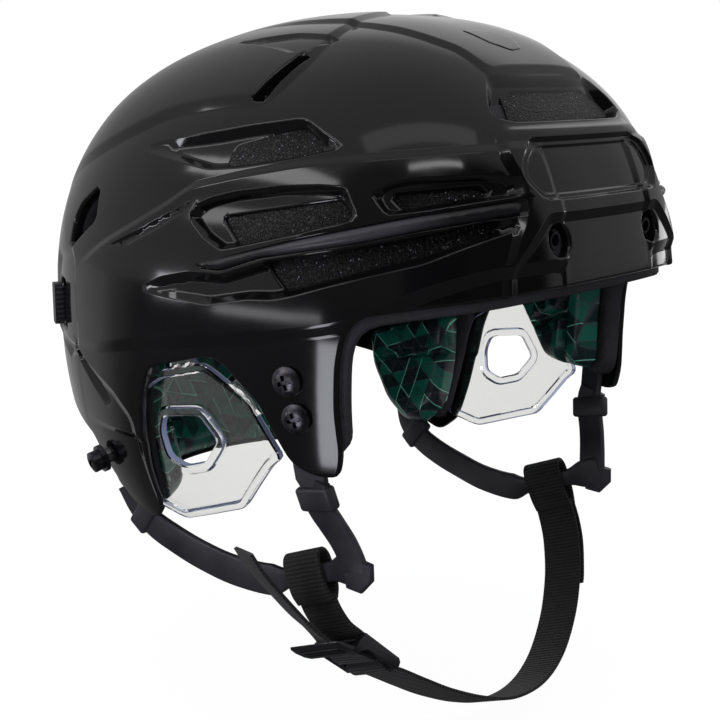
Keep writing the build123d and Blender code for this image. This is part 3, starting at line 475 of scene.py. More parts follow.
# Each form on the shell: its outline with what field takes, its level and height pairs, and where it fades
FORMS = {
    "crown": (("side", [
        (75, 38), (42, 50), (23, 57), (6, 63), (-18, 66.5), (-36, 67.5), (-41, 75), (-43, 84), (-41, 91),
        (-34, 110), (60, 120), (130, 110), (140, -10), (105, 18)], 5, 12),
        [(-5, 1.3), (-3.2, 1.25), (-0.6, 0.1), (0.4, 0)], fading(1, 105, 45)),
    "centre": (("top", mirrored([
        (-39, 60), (-38.5, -20), (-38, -50), (-36, -65), (-34, -74), (-31, -81), (-29.5, -96)])),
        [(-4, 1.2), (-2.6, 1.15), (-0.4, 0.1), (0.6, 0)], fading(1, 40, -35)),
    "facet": (("top", [(-55, 9), (-49, -20), (-50, -43), (-58, -38), (-63, -30)], 2),
        [(-2.2, -1.3), (-1.4, -1.2), (-0.2, -0.1), (0.4, 0)], None),
    "hood": (("front", mirrored([(-33, 62.5), (-41, 64.5), (-38.5, 70), (-31, 78.5)]), 3),
        [(-3.2, -6.2), (-2.4, -6.0), (-0.3, -0.4), (0.5, 0)], fading(2, 81, 63, 0.85)),
    "forehead": (("front", mirrored([
        (-40, 62), (-45, 56), (-46.5, 50), (-44, 42), (-46, 32), (-50.5, 25), (-55, 14), (-57, -10)]), 3),
        [(-3.4, 1.9), (-2.4, 1.8), (-0.3, 0.1), (0.5, 0)], fading(2, 64, 58)),
    "plate": (("front", mirrored([(-35.5, 35.5), (-42, 43.5), (-39.5, 50), (-32, 56.5)]), 2.5),
        [(-1.5, -1.5), (-1.1, -1.45), (-0.2, -0.1), (0.4, 0)], None),
    "plate_inner": (("front", mirrored([(-34.2, 37.6), (-39.3, 44), (-37.3, 49), (-31, 54.4)]), 2),
        [(-1.2, -0.8), (-0.8, -0.7), (-0.3, -0.1), (0.1, 0)], None),
    "brow": (("front", mirrored([(-54, -10), (-52.5, 15), (-35, 31.5)]), 2),
        [(-3.4, -1.7), (-2.4, -1.6), (-0.3, -0.1), (0.5, 0)], None),
    "ridge": (("side", [
        (70, -4), (47, 8), (30, 17), (10, 26), (-5, 33.5), (-17, 41), (-37, 45.5), (-60, 50), (-82, 52.5),
        (-98, 54), (-111, 55.5), (-140, 50), (-140, -60), (70, -60)], 4),
        [(-3.0, 1.2), (-2.0, 1.15), (-0.2, 0.1), (0.6, 0)], fading(1, 60, 20)),
    "slash": (("side", [
        (24, 15.5), (10, 21), (-4, 27.5), (-16, 33), (-21, 35.5), (-18, 31), (-4, 23.5), (12, 16.5)], 1),
        [(-1.6, -0.8), (-1.1, -0.7), (-0.1, -0.1), (0.4, 0)], None),
    "scoop": (("side", [
        (20, 51.5), (7, 54.5), (-22, 59), (-33, 61), (-55, 64), (-67, 58), (-74, 54.5), (-60, 51), (-37, 47),
        (-22, 45.7), (-6, 48)], 3),
        [(-3.2, -3.3), (-2.2, -3.1), (-0.2, -0.15), (0.5, 0)], fading(1, 24, -24, 0.9)),
    "panel_a": (("side", [
        (-19, 29), (-21, 33), (-27, 35.7), (-37, 38.3), (-55, 41), (-70, 41.8), (-78, 41.4), (-83.5, 32.6),
        (-66, 26), (-40, 19.6), (-35, 18.6), (-27, 22.5)], 1.5),
        [(-2.6, -3.4), (-1.9, -3.25), (-0.2, -0.15), (0.5, 0)], None),
    "panel_b": (("side", [
        (-86, 39.5), (-91, 43), (-97, 44.6), (-113, 45.2), (-117.5, 43.5), (-118.8, 38), (-101, 34),
        (-92, 32.6)], 1.5),
        [(-1.8, -2.2), (-1.3, -2.1), (-0.2, -0.15), (0.4, 0)], None),
    "bar": (("side", [
        (-19, 11.2), (-24, 12.8), (-66, 24.6), (-101, 33.2), (-120, 37.4), (-121, 31.6), (-102, 27.4), (-85, 23),
        (-52, 16.6), (-36, 11.2)], 1),
        [(-0.9, -0.7), (-0.6, -0.65), (-0.2, -0.05), (0.1, 0)], None),
    "panel_c": (("side", [
        (6, 1), (-8, 7), (-21, 9.8), (-36, 10), (-52, 15.4), (-85, 22), (-102, 26.3), (-119, 31), (-121, 27),
        (-104, 17), (-80, 9.8), (-64, 4.6), (-57, 3), (-48, 2.5), (-30, -1)], 2),
        [(-3.4, -3.4), (-2.4, -3.2), (-0.2, -0.15), (0.5, 0)], fading(1, 8, -40)),
    "lower": (("side", [
        (60, -26), (35, -23.5), (9, -18), (-17, -14), (-61, -7.5), (-74, -5), (-88, -1.5), (-96, 4), (-106, 9.5),
        (-121, 15.5), (-150, 18), (-150, -120), (60, -120)], 4),
        [(-4.4, -1.5), (-3.2, -1.45), (-0.3, -0.1), (0.8, 0)], fading(1, 70, 10)),
    "nape": (("side", [
        (160, -22), (79, -27), (60, -28), (46, -32), (26, -40), (14, -50), (6, -120), (160, -120)], 4),
        [(-4.4, -1.5), (-3.2, -1.45), (-0.3, -0.1), (0.6, 0)], fading(1, 130, 70)),
    "tab_wall": (("side", [(50, -26), (53, 6), (57, 12), (82, 8), (92, -6), (90, -30), (66, -36)], 3),
        [(-4.0, -1.4), (-3, -1.35), (-0.3, -0.1), (0.5, 0)], None),
    "low_vent": (("side", [(60, -24), (56, -34), (33, -50), (29, -46), (44, -33)], 1.6),
        [(-3, -2.4), (-2.4, -2.3), (-0.2, -0.15), (0.4, 0)], None),
}


def shell_forms():
    """Each form on the shell: its distance field, its level and height pairs, and where it fades."""
    return [(field(*outline), pairs, fade) for outline, pairs, fade in FORMS.values()]


def swell_height(points):
    """The crown is a little flatter than the plain skin."""
    return -1.6 * smooth(points[:, 2], 62, 96)


def form_height(points, forms):
    """Height of the shell's face over the plain skin."""
    height = swell_height(points)
    for measure, pairs, fade in forms:
        value = np.interp(measure(points), [p[0] for p in pairs], [p[1] for p in pairs])
        height += value if fade is None else value * fade(points)
    return height


def vent_fields():
    """The openings through shell and liner."""
    return [
        field("side", UPPER_VENT, 2),
        field("side", VENT_A, 2),
        field("side", VENT_B, 1.5),
        field("side", VENT_C, 2),
        field("side", REAR_VENT, 3),
        field("front", mirrored([(-29, 64.5), (-29, 69.5), (-24, 74)]), 2),
        field("top", [(-82, -29), (-62, -35), (-63, -40), (-81, -35)], 1),
    ]


def hole_field(centre, radius):
    """Distance to a round hole in the skin."""
    return lambda points: np.linalg.norm(points - centre, axis=1) - radius


# Degrees about the line through the ears, and from the middle to the side
FIRST_TURN, LAST_TURN, SWEEP_SPAN = -24, 246.1, 84


def crown_sheet(first_turn, turn_step, sweep_step):
    """Grid over the right half of the head, with one line of it on the middle."""
    turns = np.radians(np.arange(first_turn, LAST_TURN, turn_step))
    sweeps = np.radians(90 - np.arange(0, SWEEP_SPAN, sweep_step))[::-1]
    return CutSheet(turns, sweeps, turned_points, math.pi / 2)


# The shell's edges are rounded over: where its levels lie, and the slope at each
EDGE_ROUNDING, ROUNDING_SHARES, ROUNDING_SLOPES = 1.1, (0.25, 0.6, 1.0), [2.4, 1.13, 0.44, 0]
THINNEST_SHELL = 1.2
SLIDER_SLOT = [(70.5, -24.5), (83.5, -24.5), (83.5, -3.5), (70.5, -3.5)]


def make_shell(turn_step, sweep_step):
    """The hard shell with its creases, recesses and vents."""
    sheet = crown_sheet(FIRST_TURN, turn_step, sweep_step)
    rim = field("side", RIM, 4, WHOLE_SIDE)
    sheet.trim(rim)
    sheet.tidy()
    forms = shell_forms()
    screws = [hole_field(side_points([spot])[0], SCREW_HOLE) for spot in (UPPER_SCREW, LOWER_SCREW, REAR_SCREW)]
    openings = vent_fields() + [hole_field(front_points([BROW_INSERT])[0], INSERT_RECESS)] + screws
    openings.append(field("side", SLIDER_SLOT, 2))
    edges = [lambda points: -rim(points)] + openings
    for measure, pairs, _ in forms:
        sheet.cut_all(measure, [level for level, _ in pairs])
    rounds = [EDGE_ROUNDING * share for share in ROUNDING_SHARES]
    for measure in edges:
        sheet.cut_all(measure, rounds[::-1])
    for measure in openings:
        sheet.trim(measure, inside=False)
    sheet.tidy()

    height = form_height(sheet.points, forms)
    steps = [(measure, *step_slopes(pairs), [p[1] for p in pairs], fade) for measure, pairs, fade in forms]
    for measure in edges:
        height += rounded_drop(measure(sheet.points), EDGE_ROUNDING)
        steps.append((measure, [0] + rounds, ROUNDING_SLOPES, None, None))
    inner = np.minimum(np.full(len(height), -SHELL_WALL), height - THINNEST_SHELL)
    facing = formed_normals(sheet.points, steps, swell_height)
    return shell_object("outer_shell_moulding", sheet, height, inner, facing=facing)


GUARD = [(14, -38), (1, -30), (-22, -24), (-27, -26), (-43, -35), (-56, -56), (-51, -60), (-35, -80),
         (0, -92.5), (18, -89.5), (22, -63)]
GUARD_HOLE = [(0, -48), (-20, -44.5), (-28, -53.5), (-20, -63.5), (-8, -67.5), (0.5, -65), (2.5, -55)]
GUARD_ARMS = [
    [(-34, -31), (-47, -41), (-57, -32), (-65, -30.6), (-69, -26), (-68, -21), (-62, -18.6), (-52, -20)],
    [(17, -64), (16, -78), (28, -78), (31, -71), (28, -64)],
    [(-19, -28), (-5, -32), (-6, -22), (-17, -19.5)],
]


def joined_field(measures):
    """The nearest of several fields, as one outline."""
    return lambda points: np.min([m(points) for m in measures], axis=0)


# Heights under the skin of the liner's two faces, how its edges are rounded, and the guards' pocket
LINER_FACE, LINER_BACK, LINER_FACE_EDGE, LINER_BACK_EDGE = -4.3, -11.7, 0.8, 2.6
LINER_FIRST_TURN, LINER_STEPS, LINER_EDGE_LEVELS = -28, (2.0, 2.1), (1.0, 2.6)
POCKET_DEPTH, POCKET_MARGIN, LEVEL_SLACK = 3.3, 1.0, 0.05


def make_liner():
    """Foam liner under the shell, with a pocket where the ear guards slip in."""
    sheet = crown_sheet(LINER_FIRST_TURN, *LINER_STEPS)
    rim = field("side", FOAM_RIM, 4, WHOLE_SIDE)
    pocket = joined_field([field("side", GUARD, 2)] + [field("side", arm, 1) for arm in GUARD_ARMS])
    for measure in [rim] + vent_fields():
        sheet.trim(measure, inside=measure is rim)
    sheet.tidy()
    sheet.cut(pocket, POCKET_MARGIN)
    sheet.cut_all(lambda points: -rim(points), LINER_EDGE_LEVELS)
    away = -rim(sheet.points)
    in_pocket = pocket(sheet.points) < POCKET_MARGIN + LEVEL_SLACK
    outer = LINER_FACE + rounded_drop(away, LINER_FACE_EDGE) - POCKET_DEPTH * in_pocket
    inner = LINER_BACK - rounded_drop(away, LINER_BACK_EDGE)
    return shell_object("foam_liner_moulding", sheet, outer, inner, smooth_angle=60)


# Heights under the skin of the guard's two faces, and its raised rim and ring by distance from their outlines
GUARD_FACE, GUARD_BACK, GUARD_STEP, GUARD_CORNER = -5.4, -7.1, 1.5, 2.5
GUARD_RIM = [-3.4, -2.6, -0.5, 0.0], [0, 1.3, 1.3, 0.7]
GUARD_RING = [0, 0.5, 3.0, 3.9], [0.8, 1.3, 1.3, 0]


def make_guard(left):
    """Clear ear guard: a plate with a raised rim and a raised ring round its hole."""
    sheet = CutSheet(np.arange(-72, 34, GUARD_STEP), np.arange(-95, -16, GUARD_STEP), side_points)
    plate = field("side", GUARD, GUARD_CORNER, WHOLE_SIDE)
    hole = field("side", GUARD_HOLE, GUARD_CORNER, WHOLE_SIDE)
    bolt = hole_field(side_points([UPPER_SCREW])[0], SCREW_HOLE)
    sheet.trim(joined_field([plate] + [field("side", arm, 2, WHOLE_SIDE) for arm in GUARD_ARMS]))
    sheet.cut_all(plate, GUARD_RIM[0][2::-1])
    for measure in (hole, bolt):
        sheet.trim(measure, inside=False)
    sheet.cut_all(hole, GUARD_RING[0][1:])
    sheet.tidy()
    points = sheet.points
    rim = np.interp(plate(points), *GUARD_RIM)
    rim[plate(points) > 2 * LEVEL_SLACK] = 0  # none on the arms
    outer = GUARD_FACE + np.maximum(rim, np.interp(hole(points), *GUARD_RING))
    inner = np.full(len(points), GUARD_BACK)
    name = "ear_guard_" + SIDES[left][1] + "_plate"
    return shell_object(name, sheet, outer, inner, both_sides=False, smooth_angle=35, left=left)


TRIM_BAR = [(-20.5, 12), (-25, 13.6), (-66, 24), (-101, 32.6), (-119.7, 36.8), (-120.6, 32.2), (-102, 28),
            (-85, 23.6), (-52, 17.2), (-36, 11.8)]
# Its height over the skin by distance from its outline, and its back
TRIM_CROWN, TRIM_BACK, TRIM_STEP = ([-3.2, -2.0, -1.0, -0.35, 0], [2.7, 2.5, 1.95, 1.2, 0.2]), -1.3, 0.7


def make_trim(left):
    """Satin bar between the two rows of side vents."""
    turns, sweeps = np.arange(32, 92, TRIM_STEP), np.arange(24, 76, TRIM_STEP)
    sheet = CutSheet(np.radians(turns), np.radians(sweeps), turned_points)
    bar = field("side", TRIM_BAR, 1)
    sheet.trim(bar)
    sheet.cut_all(bar, TRIM_CROWN[0][3:0:-1])
    sheet.tidy()
    outer = np.interp(bar(sheet.points), *TRIM_CROWN)
    inner = np.full(len(outer), TRIM_BACK)
    name = "side_vent_trim_" + SIDES[left][1] + "_bar"
    return shell_object(name, sheet, outer, inner, both_sides=False, smooth_angle=50, left=left)


INLAY = [(-13, -69), (5, -69), (9.5, -77), (5, -84), (-3, -85.5), (-10, -80)]
INLAY_CROWN, INLAY_WALL, INLAY_STEP, INLAY_CORNER = ([-0.8, -0.3, 0], [0.28, 0.2, -0.25]), 0.9, 0.8, 1.6


def make_inlay():
    """Plain inlaid badge seat on the crown."""
    sheet = CutSheet(np.arange(-16, 13, INLAY_STEP), np.arange(-89, -66, INLAY_STEP), top_points)
    badge = field("top", INLAY, INLAY_CORNER)
    sheet.trim(badge)
    sheet.cut_all(badge, INLAY_CROWN[0][1::-1])
    sheet.tidy()
    base = form_height(sheet.points, shell_forms())
    outer = base + np.interp(badge(sheet.points), *INLAY_CROWN)
    return shell_object("crown_inlay_plate", sheet, outer, base - INLAY_WALL, both_sides=False, smooth_angle=50)


PAD_STEP, PAD_CORNER, PAD_LEVELS = 2.2, 5, (-0.8, -2.0, -4.5)
# A pad's crown: its share of the wall at the edge, how far in it is full, and its rounded lip and back edge
PAD_FULLNESS, PAD_RISE, PAD_LIP, PAD_LIP_SHARE, PAD_BACK_EDGE = 0.55, 1.1, 3.2, 0.82, 0.7
# A pressed channel: its second level and its flat floor as shares of its half width, and its depth
CHANNEL_LEVEL, CHANNEL_FLOOR, CHANNEL_DEPTH = 0.45, 0.3, 0.42


def make_pad(outline, place, inset, wall, channels):
    """Moulded pad: flat on the liner, crowned toward the head, with pressed channels."""
    outline = softened(outline, PAD_CORNER)
    low, high = outline.min(0) - PAD_STEP, outline.max(0) + PAD_STEP
    sheet = CutSheet(*(np.arange(low[i], high[i] + PAD_STEP, PAD_STEP) for i in (0, 1)), place)
    sheet_spots = SPOTS[place]
    edge = lambda points: outline_distance(sheet_spots(points), outline)
    sheet.trim(edge)
    sheet.cut_all(edge, PAD_LEVELS)
    for channel, width in channels:
        gap = lambda points, line=channel: outline_distance(sheet_spots(points), line, False)
        sheet.cut_all(gap, (width, width * CHANNEL_LEVEL))
    sheet.tidy()
    away = -edge(sheet.points)
    rise = np.clip(away / (wall * PAD_RISE), 0, 1)
    crown = wall * (PAD_FULLNESS + (1 - PAD_FULLNESS) * np.sqrt(1 - (1 - rise) ** 2))
    crown *= np.sqrt(1 - np.clip(1 - away / PAD_LIP, 0, 1) ** 2) * PAD_LIP_SHARE + (1 - PAD_LIP_SHARE)
    for channel, width in channels:
        gap = outline_distance(sheet_spots(sheet.points), channel, False)
        crown *= 1 - CHANNEL_DEPTH * (1 - smooth(gap, width * CHANNEL_FLOOR, width))
    outer = np.full(len(away), -inset) + rounded_drop(away, PAD_BACK_EDGE)
    return sheet, outer, -inset - crown


SPOTS = {
    side_points: lambda points: points[:, VIEWS["side"][0]],
    front_points: lambda points: points[:, VIEWS["front"][0]],
    top_points: lambda points: points[:, VIEWS["top"][0]],
    around_points: lambda points: np.column_stack([100 * np.arctan2(points[:, 0], points[:, 1]), points[:, 2]]),
}

# Each pad: how it is laid out, its depth under the skin, its thickness, its sides, its outline and its channels
PADS = {
    "temple_pad": (side_points, 12.3, 11.4, "side",
                   [(-28, 8), (-76, 14), (-79, -10), (-77.5, -30), (-78.5, -46), (-74, -51), (-59, -51.5),
                    (-49, -50), (-41, -39), (-31, -26), (-26, -17)],
                   [([(-66, 12), (-64, -8), (-66, -30), (-64, -52)], 3.2),
                    ([(-66, -24), (-44, -33)], 3.0)]),
    "side_pad": (side_points, 12.3, 8.4, "side",
                 [(-22, -8), (50, -14), (54, 30), (40, 38), (-20, 42)],
                 [([(4, -10), (6, 40)], 3.5), ([(28, -12), (30, 38)], 3.5)]),
    "rear_pad": (side_points, 12.3, 11.4, "side",
                 [(68, -50), (43, -44), (17, -37), (15.5, -70), (17, -87), (26, -97), (38, -97.5), (51, -88),
                  (63, -70)],
                 [([(17, -58), (54, -64)], 3.0)]),
    "crown_pad": (top_points, 12.3, 8.4, "both",
                  [(-36, -52), (36, -52), (44, -30), (44, 34), (34, 58), (-34, 58), (-44, 34), (-44, -30)],
                  [([(0, -60), (0, 66)], 4.5), ([(-46, -14), (46, -14)], 3.5), ([(-46, 22), (46, 22)], 3.5)]),
    "brow_pad": (front_points, 12.3, 4.6, "both",
                 [(-65, 7), (-63, 33), (63, 33), (65, 7)],
                 [([(-30, 0), (-30, 40)], 3.0), ([(30, 0), (30, 40)], 3.0)]),
    "occipital_pad": (around_points, 12.5, 7.2, "both",
                      [(-82, -23), (82, -23), (80, -60), (72, -108), (-72, -108), (-80, -60)],
                      [([(-30, -115), (-36, -10)], 3.4), ([(30, -115), (36, -10)], 3.4),
                       ([(-90, -60), (90, -60)], 3.4)]),
}


def make_pads(name):
    """The pads of one kind, one object a node."""
    place, inset, wall, sides, outline, channels = PADS[name]
    pad = make_pad(outline, place, inset, wall, channels)
    named = {name: False} if sides == "both" else {f"{name}_{word}": left for left, word in SIDES}
    return {node: shell_object(node + "_cushion", *pad, both_sides=False, smooth_angle=70, left=left)
            for node, left in named.items()}


def curve_points(points, count):
    """Even points along a smooth line through the given points."""
    points = np.asarray(points, float)
    padded = np.vstack([2 * points[0] - points[1], points, 2 * points[-1] - points[-2]])
    fine = []
    for i in range(len(points) - 1):
        a, b, c, d = padded[i:i + 4]
        for t in np.linspace(0, 1, 12, endpoint=False):
            fine.append(0.5 * (2 * b + (c - a) * t + (2 * a - 5 * b + 4 * c - d) * t ** 2
                               + (3 * b - a - 3 * c + d) * t ** 3))
    fine = np.array(fine + [points[-1]])
    lengths = np.r_[0, np.cumsum(np.linalg.norm(np.diff(fine, axis=0), axis=1))]
    wanted = np.linspace(0, lengths[-1], count)
    return np.column_stack([np.interp(wanted, lengths, fine[:, i]) for i in range(3)]), wanted


def rounded_section(width, wall, corner, steps=3):
    """Closed rounded rectangle as offsets across the width and the wall."""
    spots = []
    corner = min(corner, wall * 0.499)
    for turn, (sx, sy) in enumerate(((1, 1), (-1, 1), (-1, -1), (1, -1))):
        for k in range(steps + 1):
            angle = math.pi / 2 * (turn + k / steps)
            spots.append((sx * (width / 2 - corner) + corner * math.cos(angle),
                          sy * (wall / 2 - corner) + corner * math.sin(angle)))
    return np.array(spots)


def runs(points):
    """Way along a line of points at each of them, from the one before to the one after."""
    return np.vstack([points[1:], points[-1:]]) - np.vstack([points[:1], points[:-1]])


def swept(points, wides, widths, walls, corner, lengths, belly=0.0):
    """Closed band along points: wide directions, widths and walls at each point."""
    points = np.asarray(points)
    count = len(points)
    rows, marks = [], []
    for i, along in enumerate(runs(points)):
        along = along / np.linalg.norm(along)
        wide = wides[i] - along * (wides[i] @ along)
        wide /= np.linalg.norm(wide)
        out = np.cross(wide, along)
        section = rounded_section(widths[i], walls[i], corner)
        bulge = belly * (1 - (2 * section[:, 0] / widths[i]) ** 2) * np.sign(section[:, 1])
        rows.append(points[i] + section[:, :1] * wide + (section[:, 1] + bulge)[:, None] * out)
        marks.append(np.column_stack([section[:, 0], np.full(len(section), lengths[i])]))
    size = len(rows[0])
    faces = []
    for i in range(count - 1):
        for k in range(size):
            a, b = i * size + k, i * size + (k + 1) % size
            faces.append([a, b, b + size, a + size])
    faces.append(list(range(size))[::-1])
    faces.append([(count - 1) * size + k for k in range(size)])
    return np.vstack(rows), faces, np.vstack(marks)


def joined(parts):
    """One set of points, faces and map spots from several."""
    points, faces, marks, start = [], [], [], 0
    for p, f, m in parts:
        points.append(p)
        marks.append(m)
        faces += [[v + start for v in face] for face in f]
        start += len(p)
    return np.vstack(points), faces, np.vstack(marks)


def band_object(name, parts, flip=False, smooth_angle=50):
    """Object from swept bands, turned right way out."""
    points, faces, marks = joined(parts)
    if flip:
        points = points * MIRROR
    piece = mesh_object(name, points, faces, smooth_angle)
    bm = bmesh.new()
    bm.from_mesh(piece.data)
    bmesh.ops.recalc_face_normals(bm, faces=bm.faces)
    bm.to_mesh(piece.data)
    bm.free()
    add_map(piece, marks)
    return piece


FRONT_LEG = [(-89.8, -67, -61), (-89.4, -65.8, -66), (-88, -67, -72), (-85, -70, -79), (-81.8, -72.6, -86),
             (-79.4, -74.4, -93), (-79, -75, -97)]
REAR_LEG = [(-79, -79, -94.5), (-78.4, -72, -97), (-78, -63, -100.6), (-78, -52, -105), (-78, -41, -109),
            (-79.2, -30, -112), (-81.4, -12, -112), (-83.4, 4, -109.4), (-84.6, 18, -106), (-86, 30, -101.6),
            (-87, 38.5, -95), (-88.8, 42.6, -87)]


def block_part(middle, along, wide, length, width, wall, corner):
    """Rounded block across a band, as a short thick sweep."""
    along = np.asarray(along, float) / np.linalg.norm(along)
    stations = np.array([-0.5, -0.46, -0.38, 0.38, 0.46, 0.5]) * length
    scale = np.array([0.72, 0.9, 1, 1, 0.9, 0.72])
    points = np.asarray(middle) + stations[:, None] * along
    return swept(points, [np.asarray(wide, float)] * 6, width * (0.6 + 0.4 * scale), wall * scale, corner, stations)


def plate_part(outline, inset, wall):
    """Flat strap end on the inside of the shell, from its side outline."""
    sheet = CutSheet(np.arange(-90, 60, 2.0), np.arange(-95, -25, 2.0), side_points)
    edge = field("side", outline, 3, WHOLE_SIDE)
    sheet.trim(edge)
    sheet.cut(edge, -0.6)
    sheet.tidy()
    drop = rounded_drop(-edge(sheet.points), 0.6)
    points, faces = walled(sheet, -inset + drop, -inset - wall - drop)
    return points, faces, np.vstack([sheet.spots, sheet.spots])


# Strap ends under the shell, seen from the side, their depth under the skin and their thickness
STRAP_ENDS = (
    [(-59.6, -38), (-61, -66), (-73, -66), (-72.4, -38), (-69, -32), (-63, -32)],
    [(37.2, -73), (36.6, -90), (48.8, -90), (49.8, -73), (46.5, -66.6), (40.5, -66.6)],
)
END_INSET, END_WALL = 3.6, 2.7
KEEPER_LENGTH, KEEPER_WIDTH, KEEPER_WALL, KEEPER_CORNER = 9, 16.4, 5.2, 1.3
STRAP_WALL, STRAP_CORNER, STRAP_BELLY = 2.8, 1.1, 0.35
CORNER_LUG = np.array([[-79.0, -80.6, -92.5], [-79.0, -80.2, -97], [-79.0, -77, -100.6], [-79, -72, -101.4]])


def keeper_part(leg, index):
    """Thick keeper block between two points of a leg."""
    first, last = np.array(leg[index]), np.array(leg[index + 1])
    along = last - first
    return block_part((first + last) / 2, along, np.cross(along, SIDEWAYS), KEEPER_LENGTH, KEEPER_WIDTH,
                      KEEPER_WALL, KEEPER_CORNER)


def make_strap(left, width):
    """Moulded rubber strap from the temple lobe down to the corner and back to the nape."""
    parts = []
    for leg, count in ((FRONT_LEG, 34), (REAR_LEG, 90)):
        points, lengths = curve_points(leg, count)
        share = np.ones(count)
        if leg is REAR_LEG:  # narrower where the webbing's loop runs round it
            share = 0.6 + 0.4 * smooth(np.abs(points[:, 1] - HUB[1]), 11, 20)
        parts.append(swept(points, np.cross(runs(points), SIDEWAYS), width * share, np.full(count, STRAP_WALL),
                           STRAP_CORNER, lengths, STRAP_BELLY))
    parts += [keeper_part(FRONT_LEG, 1), keeper_part(REAR_LEG, 9)]
    parts.append(swept(CORNER_LUG, np.array([[0, 0.7, 0.7]] * 4), np.array([7, 9, 9, 6.0]), np.full(4, 2.9),
                       STRAP_CORNER, np.array([0, 5, 10, 15.0])))
    parts += [plate_part(outline, END_INSET, END_WALL) for outline in STRAP_ENDS]
    return band_object("side_strap_" + SIDES[left][1] + "_rubber", parts, left)


ACROSS = np.array([0, math.cos(WEBBING_LEAN), -math.sin(WEBBING_LEAN)])
DOWN = np.array([0, -math.sin(WEBBING_LEAN), -math.cos(WEBBING_LEAN)])


def lean_point(x, drop, shift=0.0):
    """Point in the leaning plane through both hubs."""
    return HUB + np.array([x, 0, 0]) + DOWN * drop + ACROSS * shift


BUCKLE_MIDDLE, BUCKLE_PITCH = np.array([-66.5, 34.0]), 8.0
BAR_ALONG = np.array([0.68, 0.733]) / math.hypot(0.68, 0.733)
BAR_OUT = np.array([-BAR_ALONG[1], BAR_ALONG[0]])


def buckle_spot(along, out):
    """Place in the leaning plane from the buckle's own directions."""
    return tuple(BUCKLE_MIDDLE + BAR_ALONG * along + BAR_OUT * out)


TWIST_START, TWIST_END = 68, 42  # millimetres before the end of a twisted free end
FINE_COUNT, LOOP_COUNT = 150, 44  # rings along a long run and a loop
CHIN_WAVE, FREE_END_TWIST = 0.8, 0.45


def web_band(spots, count, width, wall, wave=0.0, twist=0.0):
    """Webbing through spots in the leaning plane, its free end twisted."""
    points, lengths = curve_points([lean_point(*s) for s in spots], count)
    if wave:
        share = lengths / lengths[-1]
        points = points + ACROSS * (wave * np.sin(share * math.pi * 2) * np.sin(share * math.pi))[:, None]
    turns = twist * smooth(lengths, lengths[-1] - TWIST_START, lengths[-1] - TWIST_END)
    side = np.cross(ACROSS, runs(points))
    side /= np.linalg.norm(side, axis=1)[:, None]
    wides = ACROSS * np.cos(turns)[:, None] + side * np.sin(turns)[:, None]
    return swept(points, wides, np.full(count, width), np.full(count, wall), 0.5, lengths)


def make_chin_webbing(width, wall):
    """The long webbing: loop on the left, doubled fold, chin run and the turn at the buckle."""
    loop = [(79.6, 12), (80.9, 5), (80.9, -5), (79.2, -8.6), (76.8, -8.6), (75.1, -5), (75.1, 5), (76.6, 12)]
    chin = [(77.3, 10), (76.7, 20), (74.6, 29), (69, 42), (58, 57), (42, 70), (24, 76.6), (4, 76.4), (-14, 70.5),
            (-31, 61.6), (-43, 53.6), (-54.6, 45.4), buckle_spot(11, 0.6)]
    fold = [(79.4, 10), (79.2, 20), (77.0, 30), (71.4, 42), (68.6, 46.4)]
    turn = [buckle_spot(11.2, 0.4), buckle_spot(10.4, 2.3), buckle_spot(8, 2.7), buckle_spot(5.6, 2.3),
            buckle_spot(4.9, 0), buckle_spot(5.6, -2.3), buckle_spot(8, -2.7), buckle_spot(10.6, -2.2),
            buckle_spot(13.5, -1.1)]
    parts = [web_band(line, count, width, wall) for line, count in ((loop, LOOP_COUNT), (fold, 36), (turn, 40))]
    parts.append(web_band(chin, FINE_COUNT, width, wall, CHIN_WAVE))
    return band_object("chin_webbing_band", parts)


def make_adjusting_webbing(width, wall):
    """The short webbing: loop on the right, under and round the buckle's middle bar, and its free end."""
    loop = [(-79.2, 10), (-80.9, 5), (-80.9, -5), (-79.2, -8.6), (-76.8, -8.6), (-75.1, -5), (-75.1, 5),
            (-77.2, 10)]
    run = [(-78, 8.4), (-77, 14), (-74.4, 20.4), buckle_spot(-9.3, -3.2), buckle_spot(-4, -3.1),
           buckle_spot(0, -2.9), buckle_spot(2.0, -2.1), buckle_spot(2.75, 0), buckle_spot(2.0, 2.1),
           buckle_spot(0, 2.9), buckle_spot(-4, 3.0), buckle_spot(-8, 3.1), (-78.3, 26.2), (-83.4, 20.6),
           (-89, 13.6), (-94.4, 5.2), (-99.4, -3), (-103.5, -10.5), (-106, -17)]
    parts = [web_band(loop, LOOP_COUNT, width, wall),
             web_band(run, FINE_COUNT, width, wall, twist=FREE_END_TWIST)]
    return band_object("adjusting_webbing_band", parts)


def prism_part(outline, low, high, bevel=0.55):
    """Bevelled prism in the buckle's directions: its outline along and out, its depth across."""
    bm = bmesh.new()
    rows = []
    for depth in (low, high):
        rows.append([bm.verts.new(lean_point(*buckle_spot(a, o), depth)) for a, o in outline])
    bm.faces.new(rows[0])
    bm.faces.new(rows[1][::-1])
    for i in range(len(outline)):
        j = (i + 1) % len(outline)
        bm.faces.new([rows[0][i], rows[1][i], rows[1][j], rows[0][j]])
    bmesh.ops.bevel(bm, geom=bm.edges[:], offset=bevel, segments=2, profile=0.6, affect="EDGES", clamp_overlap=True)
    bmesh.ops.recalc_face_normals(bm, faces=bm.faces)
    bm.verts.index_update()
    points = np.array([v.co for v in bm.verts])
    faces = [[v.index for v in f.verts] for f in bm.faces]
    bm.free()
    flat = points - HUB
    return points, faces, np.column_stack([flat[:, 0], flat @ ACROSS])


